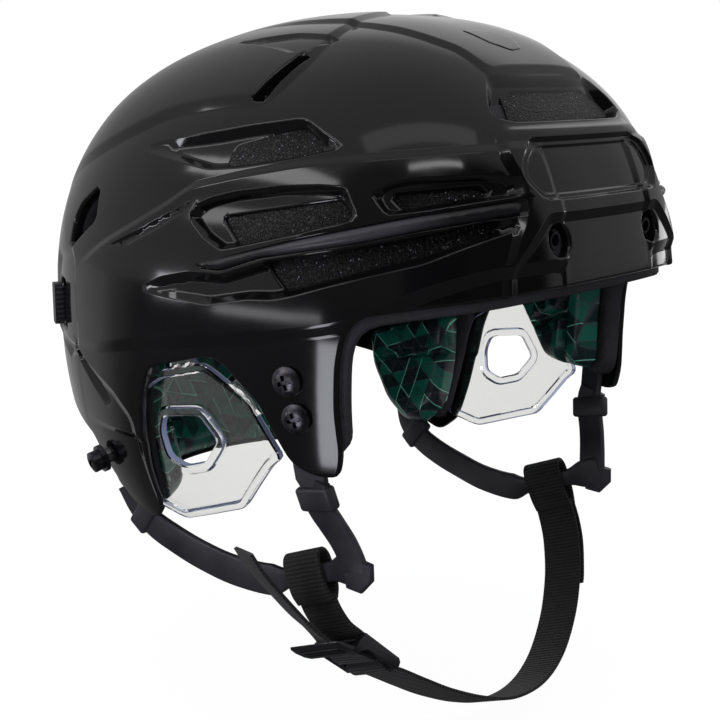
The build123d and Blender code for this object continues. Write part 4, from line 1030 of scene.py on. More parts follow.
def make_buckle(width):
    """Ladder buckle: two rails, three bars and a ribbed thumb lever outside the free end."""
    half, rail = width / 2, (width - 20.0) / 2 - 0.3
    side = [(-9.6, -2.2), (9.6, -2.2), (10.8, -1.0), (10.8, 1.2), (9.4, 2.4), (-6.4, 2.4), (-9.4, 6.4),
            (-12.4, 6.8), (-10.6, 1.2)]
    parts = [prism_part(side, -half, -half + rail), prism_part(side, half - rail, half)]
    for place in (-BUCKLE_PITCH, 0.0, BUCKLE_PITCH):
        bar = [(place + 1.3 * math.cos(t), 1.5 * math.sin(t)) for t in np.radians(np.arange(0, 360, 30))]
        parts.append(prism_part(bar, -half + 0.6, half - 0.6, 0.1))
    lever = [(-8.6, 4.9), (-9.4, 6.6), (-12.4, 7.6), (-17.0, 8.6), (-20.0, 8.6), (-20.8, 7.6), (-17.5, 6.6),
             (-12.5, 5.3)]
    parts.append(prism_part(lever, -half + 0.2, half - 0.2, 0.5))
    for place in (-13.4, -15.2, -17.0):
        rise = 7.6 + (-12.4 - place) * 0.2
        rib = [(place - 0.55, rise - 0.6), (place + 0.55, rise - 0.6), (place + 0.35, rise + 0.55),
               (place - 0.35, rise + 0.55)]
        parts.append(prism_part(rib, -half + 3.0, half - 3.0, 0.15))
    return band_object("buckle_body", parts, False, 35)


MATH, NOISE, RAMP, MIX = "ShaderNodeMath", "ShaderNodeTexNoise", "ShaderNodeValToRGB", "ShaderNodeMix"
VECTOR, COMBINE, SEPARATE = "ShaderNodeVectorMath", "ShaderNodeCombineXYZ", "ShaderNodeSeparateXYZ"
RANGE, CELLS, WAVE, CHANCE = ("ShaderNodeMapRange", "ShaderNodeTexVoronoi", "ShaderNodeTexWave",
                              "ShaderNodeTexWhiteNoise")
PLACE = "GeometryNodeSetPosition"
BLACK, WHITE = (0, 0, 0, 1), (1, 1, 1, 1)


def add(tree, kind, *inputs, stops=(), **settings):
    """One node: its settings, a ramp's stops, and its inputs in order or by name.

    An input is a value, the socket that feeds it, a node whose first output does, or a list of these.
    """
    made = tree.nodes.new(kind)
    for key, value in settings.items():
        setattr(made, key, value)
    if stops:
        elements = made.color_ramp.elements
        while len(elements) < len(stops):
            elements.new(0.5)
        for element, (place, colour) in zip(elements, stops):
            element.position, element.color = place, colour
    given = inputs[0] if inputs and isinstance(inputs[0], dict) else dict(enumerate(inputs))
    for key, value in given.items():
        for item in value if isinstance(value, list) else [value]:
            if isinstance(item, bpy.types.Node):
                item = item.outputs[0]
            if isinstance(item, bpy.types.NodeSocket):
                tree.links.new(item, made.inputs[key])
            else:
                made.inputs[key].default_value = item
    return made


def linear(colour):
    """Linear colour from an sRGB hex value."""
    parts = [int(colour[i:i + 2], 16) / 255 for i in (1, 3, 5)]
    return tuple(c / 12.92 if c <= 0.04045 else ((c + 0.055) / 1.055) ** 2.4 for c in parts) + (1.0,)


def blank(name, coordinates="Object"):
    """New material, its empty tree, and the piece's own places: object metres, or its flat map in centimetres."""
    material = bpy.data.materials.new(name)
    material.use_nodes = True
    tree = material.node_tree
    tree.nodes.clear()
    if coordinates == "flat":
        return material, tree, add(tree, "ShaderNodeUVMap", uv_map="flat").outputs[0]
    return material, tree, add(tree, "ShaderNodeTexCoord").outputs[coordinates]


def toned(name, colour, pale, scale, detail, rough=0.5, low=0.3, high=0.8):
    """New material with a cloudy tone between two colours: its tree, its places, the tone and the shade."""
    material, tree, spots = blank(name)
    tone = add(tree, NOISE, {"Vector": spots, "Scale": scale, "Detail": detail, "Roughness": rough})
    shade = add(tree, RAMP, tone, stops=[(low, tuple(colour)), (high, linear(pale))])
    return material, tree, spots, tone, shade


def finish(tree, surface, height, strength, distance, rough, tone=None, **values):
    """Principled surface with a bump; its roughness is one value, or a range that the tone moves through."""
    if tone is not None:
        rough = add(tree, RANGE, {"Value": tone, "To Min": rough[0], "To Max": rough[1]})
    inputs = {key.replace("_", " "): value for key, value in values.items()}
    inputs["Base Color"], inputs["Roughness"] = surface, rough
    inputs["Normal"] = add(tree, "ShaderNodeBump", {"Height": height, "Strength": strength, "Distance": distance})
    add(tree, "ShaderNodeOutputMaterial", add(tree, "ShaderNodeBsdfPrincipled", inputs))


def moulded_gloss_abs(colour):
    """ABS from a polished mould: deep black, mirror-like, with faint ripple and handling haze."""
    material, tree, spots, haze, shade = toned("moulded_gloss_abs", colour, "#0E0D0F", 34, 5, 0.6, 0.3, 0.75)
    specks = add(tree, NOISE, {"Vector": spots, "Scale": 2600, "Detail": 1})
    dust = add(tree, MATH, add(tree, MATH, specks, 0.79, operation="GREATER_THAN"), 0.16, operation="MULTIPLY")
    shade = add(tree, MIX, {0: dust, 6: shade, 7: linear("#5A5A5E")}, data_type="RGBA").outputs[2]
    ripple = add(tree, NOISE, {"Vector": spots, "Scale": 70, "Detail": 2})
    finish(tree, shade, ripple, 0.1, 0.00025, (0.075, 0.125), haze, IOR=1.52)
    return material


def satin_dotted_abs(colour):
    """ABS from an etched mould: satin black with rows of tiny pips about 1 mm apart, their tops painted paler as a
    painted highlight.
    """
    material, tree, spots = blank("satin_dotted_abs", "flat")
    dots = add(tree, CELLS, {"Vector": spots, "Scale": 12.0, "Randomness": 0.0})
    pips = add(tree, RAMP, dots, stops=[(0.18, WHITE), (0.34, BLACK)])
    # The pip tops are painted paler grey: a painted highlight on each raised pip.
    shade = add(tree, RAMP, pips, stops=[(0.0, tuple(colour)), (1.0, linear("#3A383E"))])
    finish(tree, shade, pips, 0.55, 0.0002, 0.34, IOR=1.5)
    return material


def vinyl_nitrile_foam(colour):
    """Closed cell foam cut and moulded: matte charcoal with fine open pores on its skin."""
    material, tree, spots, tone, shade = toned("vinyl_nitrile_foam", colour, "#34333A", 60, 4)
    pores = add(tree, CELLS, {"Vector": spots, "Scale": 900.0})
    finish(tree, shade, pores, 0.5, 0.0004, (0.62, 0.85), tone)
    return material


def clear_polycarbonate(colour, name="clear_polycarbonate", through=1.0, rough=0.015):
    """Injection moulded polycarbonate: clear and glossy, faint flow lines, and, given the edge colour, a painted
    blue where light runs to an edge.
    """
    material, tree, spots = blank(name)
    flow = add(tree, NOISE, {"Vector": spots, "Scale": 45, "Detail": 2})
    finish(tree, tuple(colour), flow, 0.06, 0.0002, rough, IOR=1.585, Transmission_Weight=through)
    return material


def film_faced_eva(dark, deep, line):
    """EVA foam under a glossy printed film: charcoal and deep green facets with thin mint segments."""
    material, tree, spots = blank("film_faced_eva", "flat")
    placed = add(tree, VECTOR, spots, (7.31, 4.77, 0.0), operation="ADD")
    cells, gaps = [], []
    for turn in (10.0, 70.0, 130.0):  # three sets of parallel seams, 8.2 mm apart
        heading = (math.cos(math.radians(turn)) / 0.82, math.sin(math.radians(turn)) / 0.82, 0.0)
        across = add(tree, VECTOR, placed, heading, operation="DOT_PRODUCT").outputs["Value"]
        cells.append(add(tree, MATH, across, operation="FLOOR"))
        part = add(tree, MATH, across, operation="FRACT")
        gaps.append(add(tree, MATH, part, add(tree, MATH, 1.0, part, operation="SUBTRACT"), operation="MINIMUM"))
    pick = add(tree, CHANCE, {"Vector": add(tree, COMBINE, *cells)}, noise_dimensions="3D")
    facets = add(tree, RAMP, pick, stops=[(0.0, tuple(dark)), (0.34, linear("#0C2B29")), (0.66, tuple(deep)),
                                          (0.97, linear("#12695A"))])
    nearest = add(tree, MATH, add(tree, MATH, gaps[0], gaps[1], operation="MINIMUM"), gaps[2], operation="MINIMUM")
    seams = add(tree, MATH, add(tree, RAMP, nearest, stops=[(0.02, WHITE), (0.05, BLACK)]), 0.8,
                operation="MULTIPLY")
    shade = add(tree, MIX, {0: seams, 6: facets, 7: linear("#45454F")}, data_type="RGBA").outputs[2]
    lit = 0.0
    for index, gap in enumerate(gaps):
        pair = add(tree, COMBINE, add(tree, MATH, cells[index], operation="ROUND"), cells[(index + 1) % 3],
                   3.0 + index)
        chosen = add(tree, MATH, add(tree, CHANCE, {"Vector": pair}, noise_dimensions="3D"), 0.86,
                     operation="GREATER_THAN")
        thin = add(tree, MATH, add(tree, MATH, gap, 0.045, operation="LESS_THAN"), chosen, operation="MULTIPLY")
        lit = add(tree, MATH, lit, thin, operation="MAXIMUM")
    shade = add(tree, MIX, {0: lit, 6: shade, 7: tuple(line)}, data_type="RGBA").outputs[2]
    metres = add(tree, "ShaderNodeTexCoord").outputs["Object"]
    creases = add(tree, NOISE, {"Vector": metres, "Scale": 120, "Detail": 3, "Roughness": 0.6})
    finish(tree, shade, creases, 0.22, 0.0006, (0.2, 0.36), creases, IOR=1.49)
    return material


def satin_rubber(colour):
    """Moulded thermoplastic rubber: charcoal satin with a fine grain and a cloudy, paler tone."""
    material, tree, spots, tone, shade = toned("satin_rubber", colour, "#3B3A40", 40, 3)
    grain = add(tree, NOISE, {"Vector": spots, "Scale": 1500, "Detail": 3})
    finish(tree, shade, grain, 0.25, 0.0002, (0.36, 0.5), tone, IOR=1.5)
    return material


def woven_nylon(colour):
    """Nylon webbing, black: ribs across it 1.5 mm apart, drawn a little coarse so that they show, with painted
    shade in the grooves between them.
    """
    material, tree, spots = blank("woven_nylon", "flat")
    ribs = add(tree, WAVE, {"Vector": spots, "Scale": 2.1, "Distortion": 0.35, "Detail": 1.0}, bands_direction="Y")
    ends = add(tree, WAVE, {"Vector": spots, "Scale": 3.4, "Distortion": 0.2}, bands_direction="X")
    ends = add(tree, MATH, ends.outputs["Fac"], 0.5, 0.5, operation="MULTIPLY_ADD")
    weave = add(tree, MATH, ribs.outputs["Fac"], ends, operation="MULTIPLY")
    fuzz = add(tree, MATH, add(tree, NOISE, {"Vector": spots, "Scale": 30, "Detail": 3}), 0.3, operation="MULTIPLY")
    # The dips of the weave are painted near black: painted shade between the ribs.
    shade = add(tree, RAMP, weave, stops=[(0.1, linear("#060607")), (0.9, tuple(colour))])
    finish(tree, shade, add(tree, MATH, weave, fuzz, operation="ADD"), 0.7, 0.0005, 0.72, Sheen_Weight=0.12,
           Sheen_Roughness=0.5)
    return material


def moulded_acetal(colour):
    """Acetal from a lightly textured mould: black, satin, a little waxy."""
    material, tree, spots, tone, shade = toned("moulded_acetal", colour, "#1C1C20", 90, 3)
    grain = add(tree, NOISE, {"Vector": spots, "Scale": 1200, "Detail": 2})
    finish(tree, shade, grain, 0.12, 0.0002, (0.2, 0.32), tone, IOR=1.48)
    return material


def ribbed_nylon(colour):
    """Glass-filled nylon: satin black, with finger ribs 2 mm apart on the slider faces."""
    material, tree, spots, tone, shade = toned("ribbed_nylon", colour, "#26262B", 80, 3)
    turns = add(tree, MATH, add(tree, SEPARATE, spots).outputs[2], 2 * math.pi / 0.002, operation="MULTIPLY")
    finish(tree, shade, add(tree, MATH, turns, operation="SINE"), 0.5, 0.0004, 0.38, IOR=1.5)
    return material


def black_oxide_steel(colour):
    """Steel blackened in an oxide bath: dark gunmetal, soft highlights, brighter in small rubbed-looking patches at
    random.
    """
    material, tree, _, rub, shade = toned("black_oxide_steel", colour, "#6A686E", 420, 4, 0.65, 0.35, 0.72)
    finish(tree, shade, rub, 0.15, 0.0002, (0.24, 0.42), rub, Metallic=1.0)
    return material


def plated_zinc(colour):
    """Zinc plated steel: grey metal with a dull, slightly cloudy face."""
    material, tree, _, cloud, shade = toned("plated_zinc", colour, "#B9BAC0", 260, 4)
    finish(tree, shade, cloud, 0.1, 0.0002, (0.28, 0.45), cloud, Metallic=1.0)
    return material


def black_spacer_mesh(colour):
    """Knitted spacer mesh: black threads with tiny painted glints; its eyes, drawn 1.4 mm wide so that they show,
    are painted darker than the threads as painted shade.
    """
    material, tree, spots = blank("black_spacer_mesh")
    eyes = add(tree, CELLS, {"Vector": spots, "Scale": 700.0}, feature="DISTANCE_TO_EDGE")
    threads = add(tree, RAMP, eyes, stops=[(0.04, WHITE), (0.2, BLACK)])
    # Pale blue-grey spots on the threads are painted glints: painted highlights.
    glint = add(tree, MATH, add(tree, CELLS, {"Vector": spots, "Scale": 520.0}), 0.13, operation="LESS_THAN")
    painted_glint = add(tree, MATH, glint, threads, operation="MULTIPLY")
    # The eyes are painted darker than the threads: painted shade of the dark space behind the mesh.
    shade = add(tree, RAMP, threads, stops=[(0.0, linear("#010102")), (1.0, tuple(colour))])
    shade = add(tree, MIX, {0: painted_glint, 6: shade, 7: linear("#8C94A8")}, data_type="RGBA").outputs[2]
    finish(tree, shade, threads, 0.8, 0.0006, 0.4)
    return material


def dress(piece, material, body, slot, *nodes):
    """Give a finished piece its material, its body and the nodes it stands for; its slot is not used."""
    piece.data.materials.clear()
    piece.data.materials.append(material)
    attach(piece, body)
    if nodes:
        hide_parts(*nodes)
    return piece


def dress_nodes(material, *names):
    """Give CAD nodes that are shown as they are their material."""
    for name in names:
        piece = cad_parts[name]
        if not piece.material_slots:
            piece.data.materials.append(material)
        for place in piece.material_slots:
            place.material = material


def maker_tree(name, floats):
    """Geometry node tree with named sizes, and what its group is given."""
    tree = bpy.data.node_groups.new(name, "GeometryNodeTree")
    sockets = [("Geometry", "OUTPUT", "Geometry"), ("Geometry", "INPUT", "Geometry")]
    sockets += [(size, "INPUT", "Float") for size in floats] + [("Material", "INPUT", "Material")]
    for label, way, kind in sockets:
        tree.interface.new_socket(label, in_out=way, socket_type="NodeSocket" + kind)
    return tree, add(tree, "NodeGroupInput").outputs


def place_copies(tree, given, part, spin=0.0, scale=(1.0, 1.0, 1.0)):
    """End of a maker tree: the part at each point, turned to its heading and spun, real and with its material."""
    heading = add(tree, "GeometryNodeInputNamedAttribute", {"Name": "heading"}, data_type="FLOAT_VECTOR")
    turned = add(tree, "FunctionNodeAlignRotationToVector", {"Vector": heading}, axis="Z")
    by = add(tree, "FunctionNodeEulerToRotation", (0.0, 0.0, spin))
    spun = add(tree, "FunctionNodeRotateRotation", {"Rotation": turned, "Rotate By": by}, rotation_space="LOCAL")
    placed = add(tree, "GeometryNodeInstanceOnPoints", {"Points": given["Geometry"], "Instance": part,
                                                        "Rotation": spun, "Scale": scale})
    real = add(tree, "GeometryNodeRealizeInstances", {"Geometry": placed})
    add(tree, "NodeGroupOutput", add(tree, "GeometryNodeSetMaterial", {"Geometry": real,
                                                                       "Material": given["Material"]}))


def screw_tree():
    """Node tree for cross-head screws: a collar and a domed head with a cross recess at each point."""
    tree, given = maker_tree("cross_head_screws", ("Head radius", "Head height", "Dome", "Collar radius",
                                                   "Collar height", "Recess length", "Recess width",
                                                   "Recess depth"))

    def raised(geometry, height):
        return add(tree, PLACE, {"Geometry": geometry, "Offset": add(tree, COMBINE, 0.0, 0.0, height)})

    def times(first, second):
        return add(tree, MATH, first, second, operation="MULTIPLY")

    head = add(tree, "GeometryNodeMeshCylinder", {"Vertices": 40, "Side Segments": 4, "Fill Segments": 7,
                                                  "Radius": given["Head radius"], "Depth": given["Head height"]})
    head = raised(head, times(given["Head height"], 0.5))
    split = add(tree, SEPARATE, add(tree, "GeometryNodeInputPosition")).outputs
    square = add(tree, MATH, times(split[0], split[0]), times(split[1], split[1]), operation="ADD")
    ring = add(tree, MATH, add(tree, MATH, square, operation="SQRT"), given["Head radius"], operation="DIVIDE")
    share = add(tree, MATH, ring, 3.0, operation="POWER")
    domed = raised(head, times(times(share, given["Dome"]), times(split[2], -1.0)))
    slots = []
    for first, second in (("Recess length", "Recess width"), ("Recess width", "Recess length")):
        size = add(tree, COMBINE, given[first], given[second], times(given["Recess depth"], 2.0))
        slots.append(raised(add(tree, "GeometryNodeMeshCube", {"Size": size}), given["Head height"]))
    cross = add(tree, "GeometryNodeMeshBoolean", {"Mesh 2": slots}, operation="UNION", solver="EXACT")
    cut = add(tree, "GeometryNodeMeshBoolean", {"Mesh 1": domed, "Mesh 2": cross}, operation="DIFFERENCE",
              solver="EXACT")
    collar = add(tree, "GeometryNodeMeshCylinder", {"Vertices": 40, "Radius": given["Collar radius"],
                                                    "Depth": given["Collar height"]})
    collar = raised(collar, times(given["Collar height"], 0.5))
    place_copies(tree, given, add(tree, "GeometryNodeJoinGeometry", [cut, collar]), 0.6)
    return tree


def stitch_tree():
    """Node tree for a row of thread stitches: one small rounded stitch at each point."""
    tree, given = maker_tree("bar_tack_stitches", ("Stitch length", "Thread radius"))
    ball = add(tree, "GeometryNodeMeshUVSphere", {"Segments": 8, "Rings": 6, "Radius": given["Thread radius"]})
    thread = add(tree, MATH, given["Thread radius"], 2.0, operation="MULTIPLY")
    long = add(tree, MATH, given["Stitch length"], thread, operation="DIVIDE")
    place_copies(tree, given, ball, scale=add(tree, COMBINE, 1.0, 1.0, long))
    return tree


def realized(name, points, headings, tree, values):
    """Plain mesh piece from points in millimetres with headings and a node tree's result."""
    mesh = bpy.data.meshes.new(name + "_points")
    mesh.from_pydata((np.asarray(points) / 1000).tolist(), [], [])
    attribute = mesh.attributes.new("heading", "FLOAT_VECTOR", "POINT")
    attribute.data.foreach_set("vector", np.asarray(headings, float).ravel())
    holder = placed_object(name + "_points", mesh)
    modifier = holder.modifiers.new("maker", "NODES")
    modifier.node_group = tree
    for item in tree.interface.items_tree:
        if item.in_out == "INPUT" and item.name in values:
            modifier[item.identifier] = values[item.name]
    view = bpy.context.evaluated_depsgraph_get()
    result = bpy.data.meshes.new_from_object(holder.evaluated_get(view))
    bpy.data.objects.remove(holder)
    result.name = name
    result.shade_smooth()
    result.set_sharp_from_angle(angle=math.radians(34))
    return placed_object(name, result)


def length_property(name, description, metres):
    """Length property."""
    return FloatProperty(name=name, description=description, default=metres, subtype="DISTANCE", unit="LENGTH")


def angle_property(name, description, degrees):
    """Angle property from degrees."""
    return FloatProperty(name=name, description=description, default=math.radians(degrees), subtype="ANGLE",
                         unit="ROTATION")


def colour_property(name, description, colour):
    """Colour property whose default is an sRGB hex value."""
    return FloatVectorProperty(name=name, description=description, default=linear(colour), size=4,
                               subtype="COLOR", min=0, max=1)


class HelmetSizes(bpy.types.PropertyGroup):
    """Sizes that can be changed before the pieces are made."""
    turn_step: angle_property("Shell grid turn", "Grid step of the shell over the crown", 1.0)
    sweep_step: angle_property("Shell grid sweep", "Grid step of the shell from side to side", 1.1)
    strap_width: length_property("Strap width", "Width of the rubber side straps", 0.0126)
    webbing_width: length_property("Webbing width", "Width of the chin webbing", 0.020)
    webbing_wall: length_property("Webbing thickness", "Thickness of the chin webbing", 0.0014)
    buckle_width: length_property("Buckle width", "Width of the ladder buckle", 0.027)
    head_radius: length_property("Screw head radius", "Radius of a side screw's head", 0.0055)
    head_height: length_property("Screw head height", "Height of a side screw's head", 0.0026)
    recess_length: length_property("Cross recess length", "Length of the cross in a screw head", 0.0054)
    stitches: IntProperty(name="Stitches in a row", description="Thread stitches in one row of a bar tack",
                          default=9, min=3, max=20)


class HelmetColours(bpy.types.PropertyGroup):
    """Base colours of the finishes."""
    shell: colour_property("Shell", "Polished shell plastic", "#09090A")
    trim: colour_property("Trim bar", "Etched trim plastic", "#141316")
    foam: colour_property("Liner foam", "Foam liner", "#2A292C")
    pad_dark: colour_property("Pad facets, dark", "Darkest facets of the pad film", "#25252E")
    pad_deep: colour_property("Pad facets, green", "Green facets of the pad film", "#0F6C58")
    pad_line: colour_property("Pad lines", "Thin mint segments of the pad film", "#7FE3BE")
    guard: colour_property("Ear guard", "Clear guard plastic", "#E3E3E1")
    # The edge colour is painted light: the pale blue that light running along the clear plate gives its edges.
    guard_edge_painted_light: colour_property("Ear guard edge", "Edges of the clear guard", "#C4D0FF")
    rubber: colour_property("Strap rubber", "Side strap rubber", "#1F1E23")
    webbing: colour_property("Webbing", "Webbing yarn", "#1E1D20")
    plastic: colour_property("Buckle and adjuster", "Small black plastic parts", "#17171A")
    steel: colour_property("Screws", "Blackened steel", "#3A393E")
    zinc: colour_property("Nuts", "Zinc plating", "#8E9096")
    mesh: colour_property("Vent mesh", "Mesh threads", "#08080A")


def sizes():
    """Sizes of this scene."""
    return bpy.context.scene.helmet_sizes


def colours():
    """Colours of this scene."""
    return bpy.context.scene.helmet_colours


class HELMET_OT_shell(bpy.types.Operator):
    """Make the hard shell."""
    bl_idname = "helmet.shell"
    bl_label = "Shell"

    def execute(self, context):
        piece = make_shell(math.degrees(sizes().turn_step), math.degrees(sizes().sweep_step))
        dress(piece, moulded_gloss_abs(colours().shell), "helmet", "shell_plastic", "outer_shell")
        return {"FINISHED"}


class HELMET_OT_badge_seat(bpy.types.Operator):
    """Make the plain inlaid badge seat on the crown."""
    bl_idname = "helmet.badge_seat"
    bl_label = "Badge seat"

    def execute(self, context):
        dress(make_inlay(), bpy.data.materials["moulded_gloss_abs"], "helmet", "shell_plastic", "crown_inlay")
        return {"FINISHED"}


class HELMET_OT_trim_bars(bpy.types.Operator):
    """Make the two textured bars between the side vents."""
    bl_idname = "helmet.trim_bars"
    bl_label = "Trim bars"

    def execute(self, context):
        material = satin_dotted_abs(colours().trim)
        for left, word in SIDES:
            dress(make_trim(left), material, "helmet", "satin_trim", "side_vent_trim_" + word)
        return {"FINISHED"}


class HELMET_OT_vent_meshes(bpy.types.Operator):
    """Finish the meshes behind the vents, which keep their shape from the frame."""
    bl_idname = "helmet.vent_meshes"
    bl_label = "Vent meshes"

    def execute(self, context):
        dress_nodes(black_spacer_mesh(colours().mesh), "side_vent_mesh_right", "side_vent_mesh_left",
                    "upper_vent_mesh", "front_vent_mesh", "crown_vent_mesh")
        return {"FINISHED"}


class HELMET_OT_liner(bpy.types.Operator):
    """Make the foam liner."""
    bl_idname = "helmet.liner"
    bl_label = "Foam liner"

    def execute(self, context):
        dress(make_liner(), vinyl_nitrile_foam(colours().foam), "helmet", "liner_foam", "foam_liner")
        return {"FINISHED"}


class HELMET_OT_pads(bpy.types.Operator):
    """Make the comfort pads and the pad of the fit adjuster."""
    bl_idname = "helmet.pads"
    bl_label = "Comfort pads"

    def execute(self, context):
        material = film_faced_eva(colours().pad_dark, colours().pad_deep, colours().pad_line)
        for kind in PADS:
            body = "fit_adjuster" if kind == "occipital_pad" else "helmet"
            for node, piece in make_pads(kind).items():
                dress(piece, material, body, "pad_film", node)
        return {"FINISHED"}


class HELMET_OT_ear_guards(bpy.types.Operator):
    """Make the clear ear guards, with a painted pale blue light on their edges where light runs to them."""
    bl_idname = "helmet.ear_guards"
    bl_label = "Ear guards"

    def execute(self, context):
        clear = clear_polycarbonate(colours().guard)
        # The edge faces take a painted pale blue light, less clear and rougher.
        edge = clear_polycarbonate(colours().guard_edge_painted_light, "clear_polycarbonate_painted_edge_light", 0.45, 0.12)
        for left, word in SIDES:
            piece = make_guard(left)
            dress(piece, clear, "helmet", "guard_clear", "ear_guard_" + word)
            piece.data.materials.append(edge)
            index = np.zeros(len(piece.data.polygons), int)
            index[piece["walls"]:] = 1
            piece.data.polygons.foreach_set("material_index", index)
        return {"FINISHED"}


HEAD_LIFT = 0.1  # millimetres from the skin to a screw's collar


def make_screws(name, places, tree, material, **values):
    """Cross-head screws at places on the right and mirrored on the left; values are the tree's sizes."""
    spots = side_points(places)
    spots = np.vstack([spots, spots * MIRROR])
    headings = skin_normals(spots)
    values = {key.replace("_", " ").capitalize(): value for key, value in values.items()}
    values["Material"] = material
    piece = realized(name + "_heads", spots + headings * HEAD_LIFT, headings, tree, values)
    dress(piece, material, "helmet", "screw_steel", name)


class HELMET_OT_fasteners(bpy.types.Operator):
    """Make the screws, and finish the nuts and the threaded inserts."""
    bl_idname = "helmet.fasteners"
    bl_label = "Screws, nuts and inserts"

    def execute(self, context):
        steel, tree = black_oxide_steel(colours().steel), screw_tree()
        radius, height, recess = sizes().head_radius, sizes().head_height, sizes().recess_length
        make_screws("side_screws", [UPPER_SCREW, LOWER_SCREW], tree, steel, head_radius=radius, head_height=height,
                    dome=0.62, collar_radius=radius * 0.98, collar_height=height * 0.18, recess_length=recess,
                    recess_width=recess * 0.27, recess_depth=height * 0.62)
        make_screws("rear_screws", [REAR_SCREW], tree, steel, head_radius=0.0043, head_height=0.0064, dome=0.12,
                    collar_radius=0.0056, collar_height=0.002, recess_length=0.005, recess_width=0.0014,
                    recess_depth=0.0016)
        dress_nodes(plated_zinc(colours().zinc), "side_nuts")
        dress_nodes(steel, "front_inserts")
        return {"FINISHED"}


class HELMET_OT_side_straps(bpy.types.Operator):
    """Make the moulded rubber side straps."""
    bl_idname = "helmet.side_straps"
    bl_label = "Side straps"

    def execute(self, context):
        material = satin_rubber(colours().rubber)
        for left, word in SIDES:
            piece = make_strap(left, sizes().strap_width * 1000)
            dress(piece, material, "helmet", "strap_rubber", "side_strap_" + word)
        return {"FINISHED"}


# Rows of stitches in the leaning plane: the place across and down of each
STITCH_ROWS = ((80.5, 11.5), (80.3, 14.5), (-80.6, 10.0))
STITCH_ROW_LENGTH = 16.0


class HELMET_OT_chin_strap(bpy.types.Operator):
    """Make the webbing, its stitches and the ladder buckle."""
    bl_idname = "helmet.chin_strap"
    bl_label = "Chin strap"

    def execute(self, context):
        nylon = woven_nylon(colours().webbing)
        width, wall = sizes().webbing_width * 1000, sizes().webbing_wall * 1000
        dress(make_chin_webbing(width, wall), nylon, "chin_strap", "webbing_fabric", "chin_webbing")
        dress(make_adjusting_webbing(width, wall), nylon, "chin_strap", "webbing_fabric", "adjusting_webbing")
        buckle = make_buckle(sizes().buckle_width * 1000)
        dress(buckle, moulded_acetal(colours().plastic), "chin_strap", "buckle_plastic", "buckle")
        shifts = STITCH_ROW_LENGTH * (np.arange(sizes().stitches) / (sizes().stitches - 1) - 0.5)
        points = [lean_point(x, drop, shift) for x, drop in STITCH_ROWS for shift in shifts]
        piece = realized("webbing_stitches", points, [ACROSS] * len(points), stitch_tree(), {
            "Stitch length": 0.0016, "Thread radius": 0.00026, "Material": nylon})
        dress(piece, nylon, "chin_strap", "webbing_fabric")
        add_map(piece, np.zeros((len(piece.data.vertices), 2)))
        return {"FINISHED"}


class HELMET_OT_fit_adjuster(bpy.types.Operator):
    """Finish the cradle and the sliders, which keep their shape from the frame."""
    bl_idname = "helmet.fit_adjuster"
    bl_label = "Fit adjuster"

    def execute(self, context):
        dress_nodes(ribbed_nylon(colours().plastic), "occipital_cradle", "fit_slider_right", "fit_slider_left")
        return {"FINISHED"}


FLOOR_HALF = 4
PLAIN, COOL, PALE_BLUE = (1.0, 1.0, 1.0), (0.93, 0.94, 1.0), (0.9, 0.9, 1.0)
# Lamps: azimuth and elevation in degrees, distance and size in metres, radiance, colour, seen in reflections
LAMPS = {
    "top_softbox": (-60, 84, 1.3, (1.0, 0.9), 0.55, PLAIN, False),
    "front_softbox": (-30, 20, 1.5, (0.8, 0.8), 1.4, PLAIN, False),
    "under_softbox": (-40, -5, 1.4, (0.8, 0.25), 1.6, PLAIN, False),
    "front_top_strip": (-36, 60, 1.3, (1.3, 0.22), 0.5, PLAIN, True),
    "long_strip": (-112, 34, 1.25, (0.95, 0.15), 3.4, PLAIN, True),
    "mid_strip": (-112, 19, 1.25, (0.6, 0.10), 2.8, PLAIN, True),
    "low_strip": (-101, -3.5, 1.1, (0.55, 0.035), 3.5, COOL, True),
    "side_window": (-124, 0, 1.1, (0.22, 0.09), 7.5, COOL, True),
    "low_card": (-75, -13.9, 0.313, (0.04, 0.12), 6.5, PALE_BLUE, True),
    "front_strip": (-32, 45, 1.3, (0.62, 0.05), 5.0, PLAIN, True),
    "right_card": (84, 0, 1.5, (0.4, 0.18), 2.0, PLAIN, True),
}
LAMP_AIM = Vector((0, 0, -0.03))
# The studio air: brightness by height, and patches of it: their way, where each starts and is full, and its gain
AIR = [(0.40, (0.28, 0.28, 0.29, 1)), (0.53, (0.36, 0.36, 0.365, 1)), (0.70, (0.36, 0.355, 0.36, 1)),
       (0.90, (0.42, 0.415, 0.42, 1))]
PATCHES = (((0.807, 0.429, 0.407), 0.87, 0.97, 2.1), ((-0.21, -0.98, 0.03), 0.67, 0.77, 0.06),
           ((-0.88, -0.47, 0.09), 0.71, 0.79, 0.25))
CAMERA_TURNS = (-47.635, 12.255, -0.139)  # turn, tilt and roll in degrees
CAMERA_PLACE, CAMERA_LENS, CAMERA_SENSOR = (-0.41033, -0.38041, 0.07895), 66.0, 36.0


def way(azimuth, elevation):
    """Unit vector toward an azimuth from the front and an elevation, in radians."""
    return Vector((math.sin(azimuth) * math.cos(elevation), -math.cos(azimuth) * math.cos(elevation),
                   math.sin(elevation)))


def make_lamp(name, azimuth, elevation, distance, size, radiance, colour, reflected):
    """Rectangular lamp aimed at the helmet, radiance as the eye sees it."""
    lamp = bpy.data.lights.new(name, "AREA")
    lamp.shape, lamp.size, lamp.size_y = "RECTANGLE", size[0], size[1]
    lamp.energy = radiance * math.pi * size[0] * size[1]
    lamp.color = colour
    away = way(math.radians(azimuth), math.radians(elevation))
    holder = placed_object(name, lamp)
    holder.matrix_world = Matrix.Translation(away * distance + LAMP_AIM) @ (
        away.to_track_quat("Z", "Y").to_matrix().to_4x4())
    holder.visible_camera = False
    holder.visible_glossy = reflected


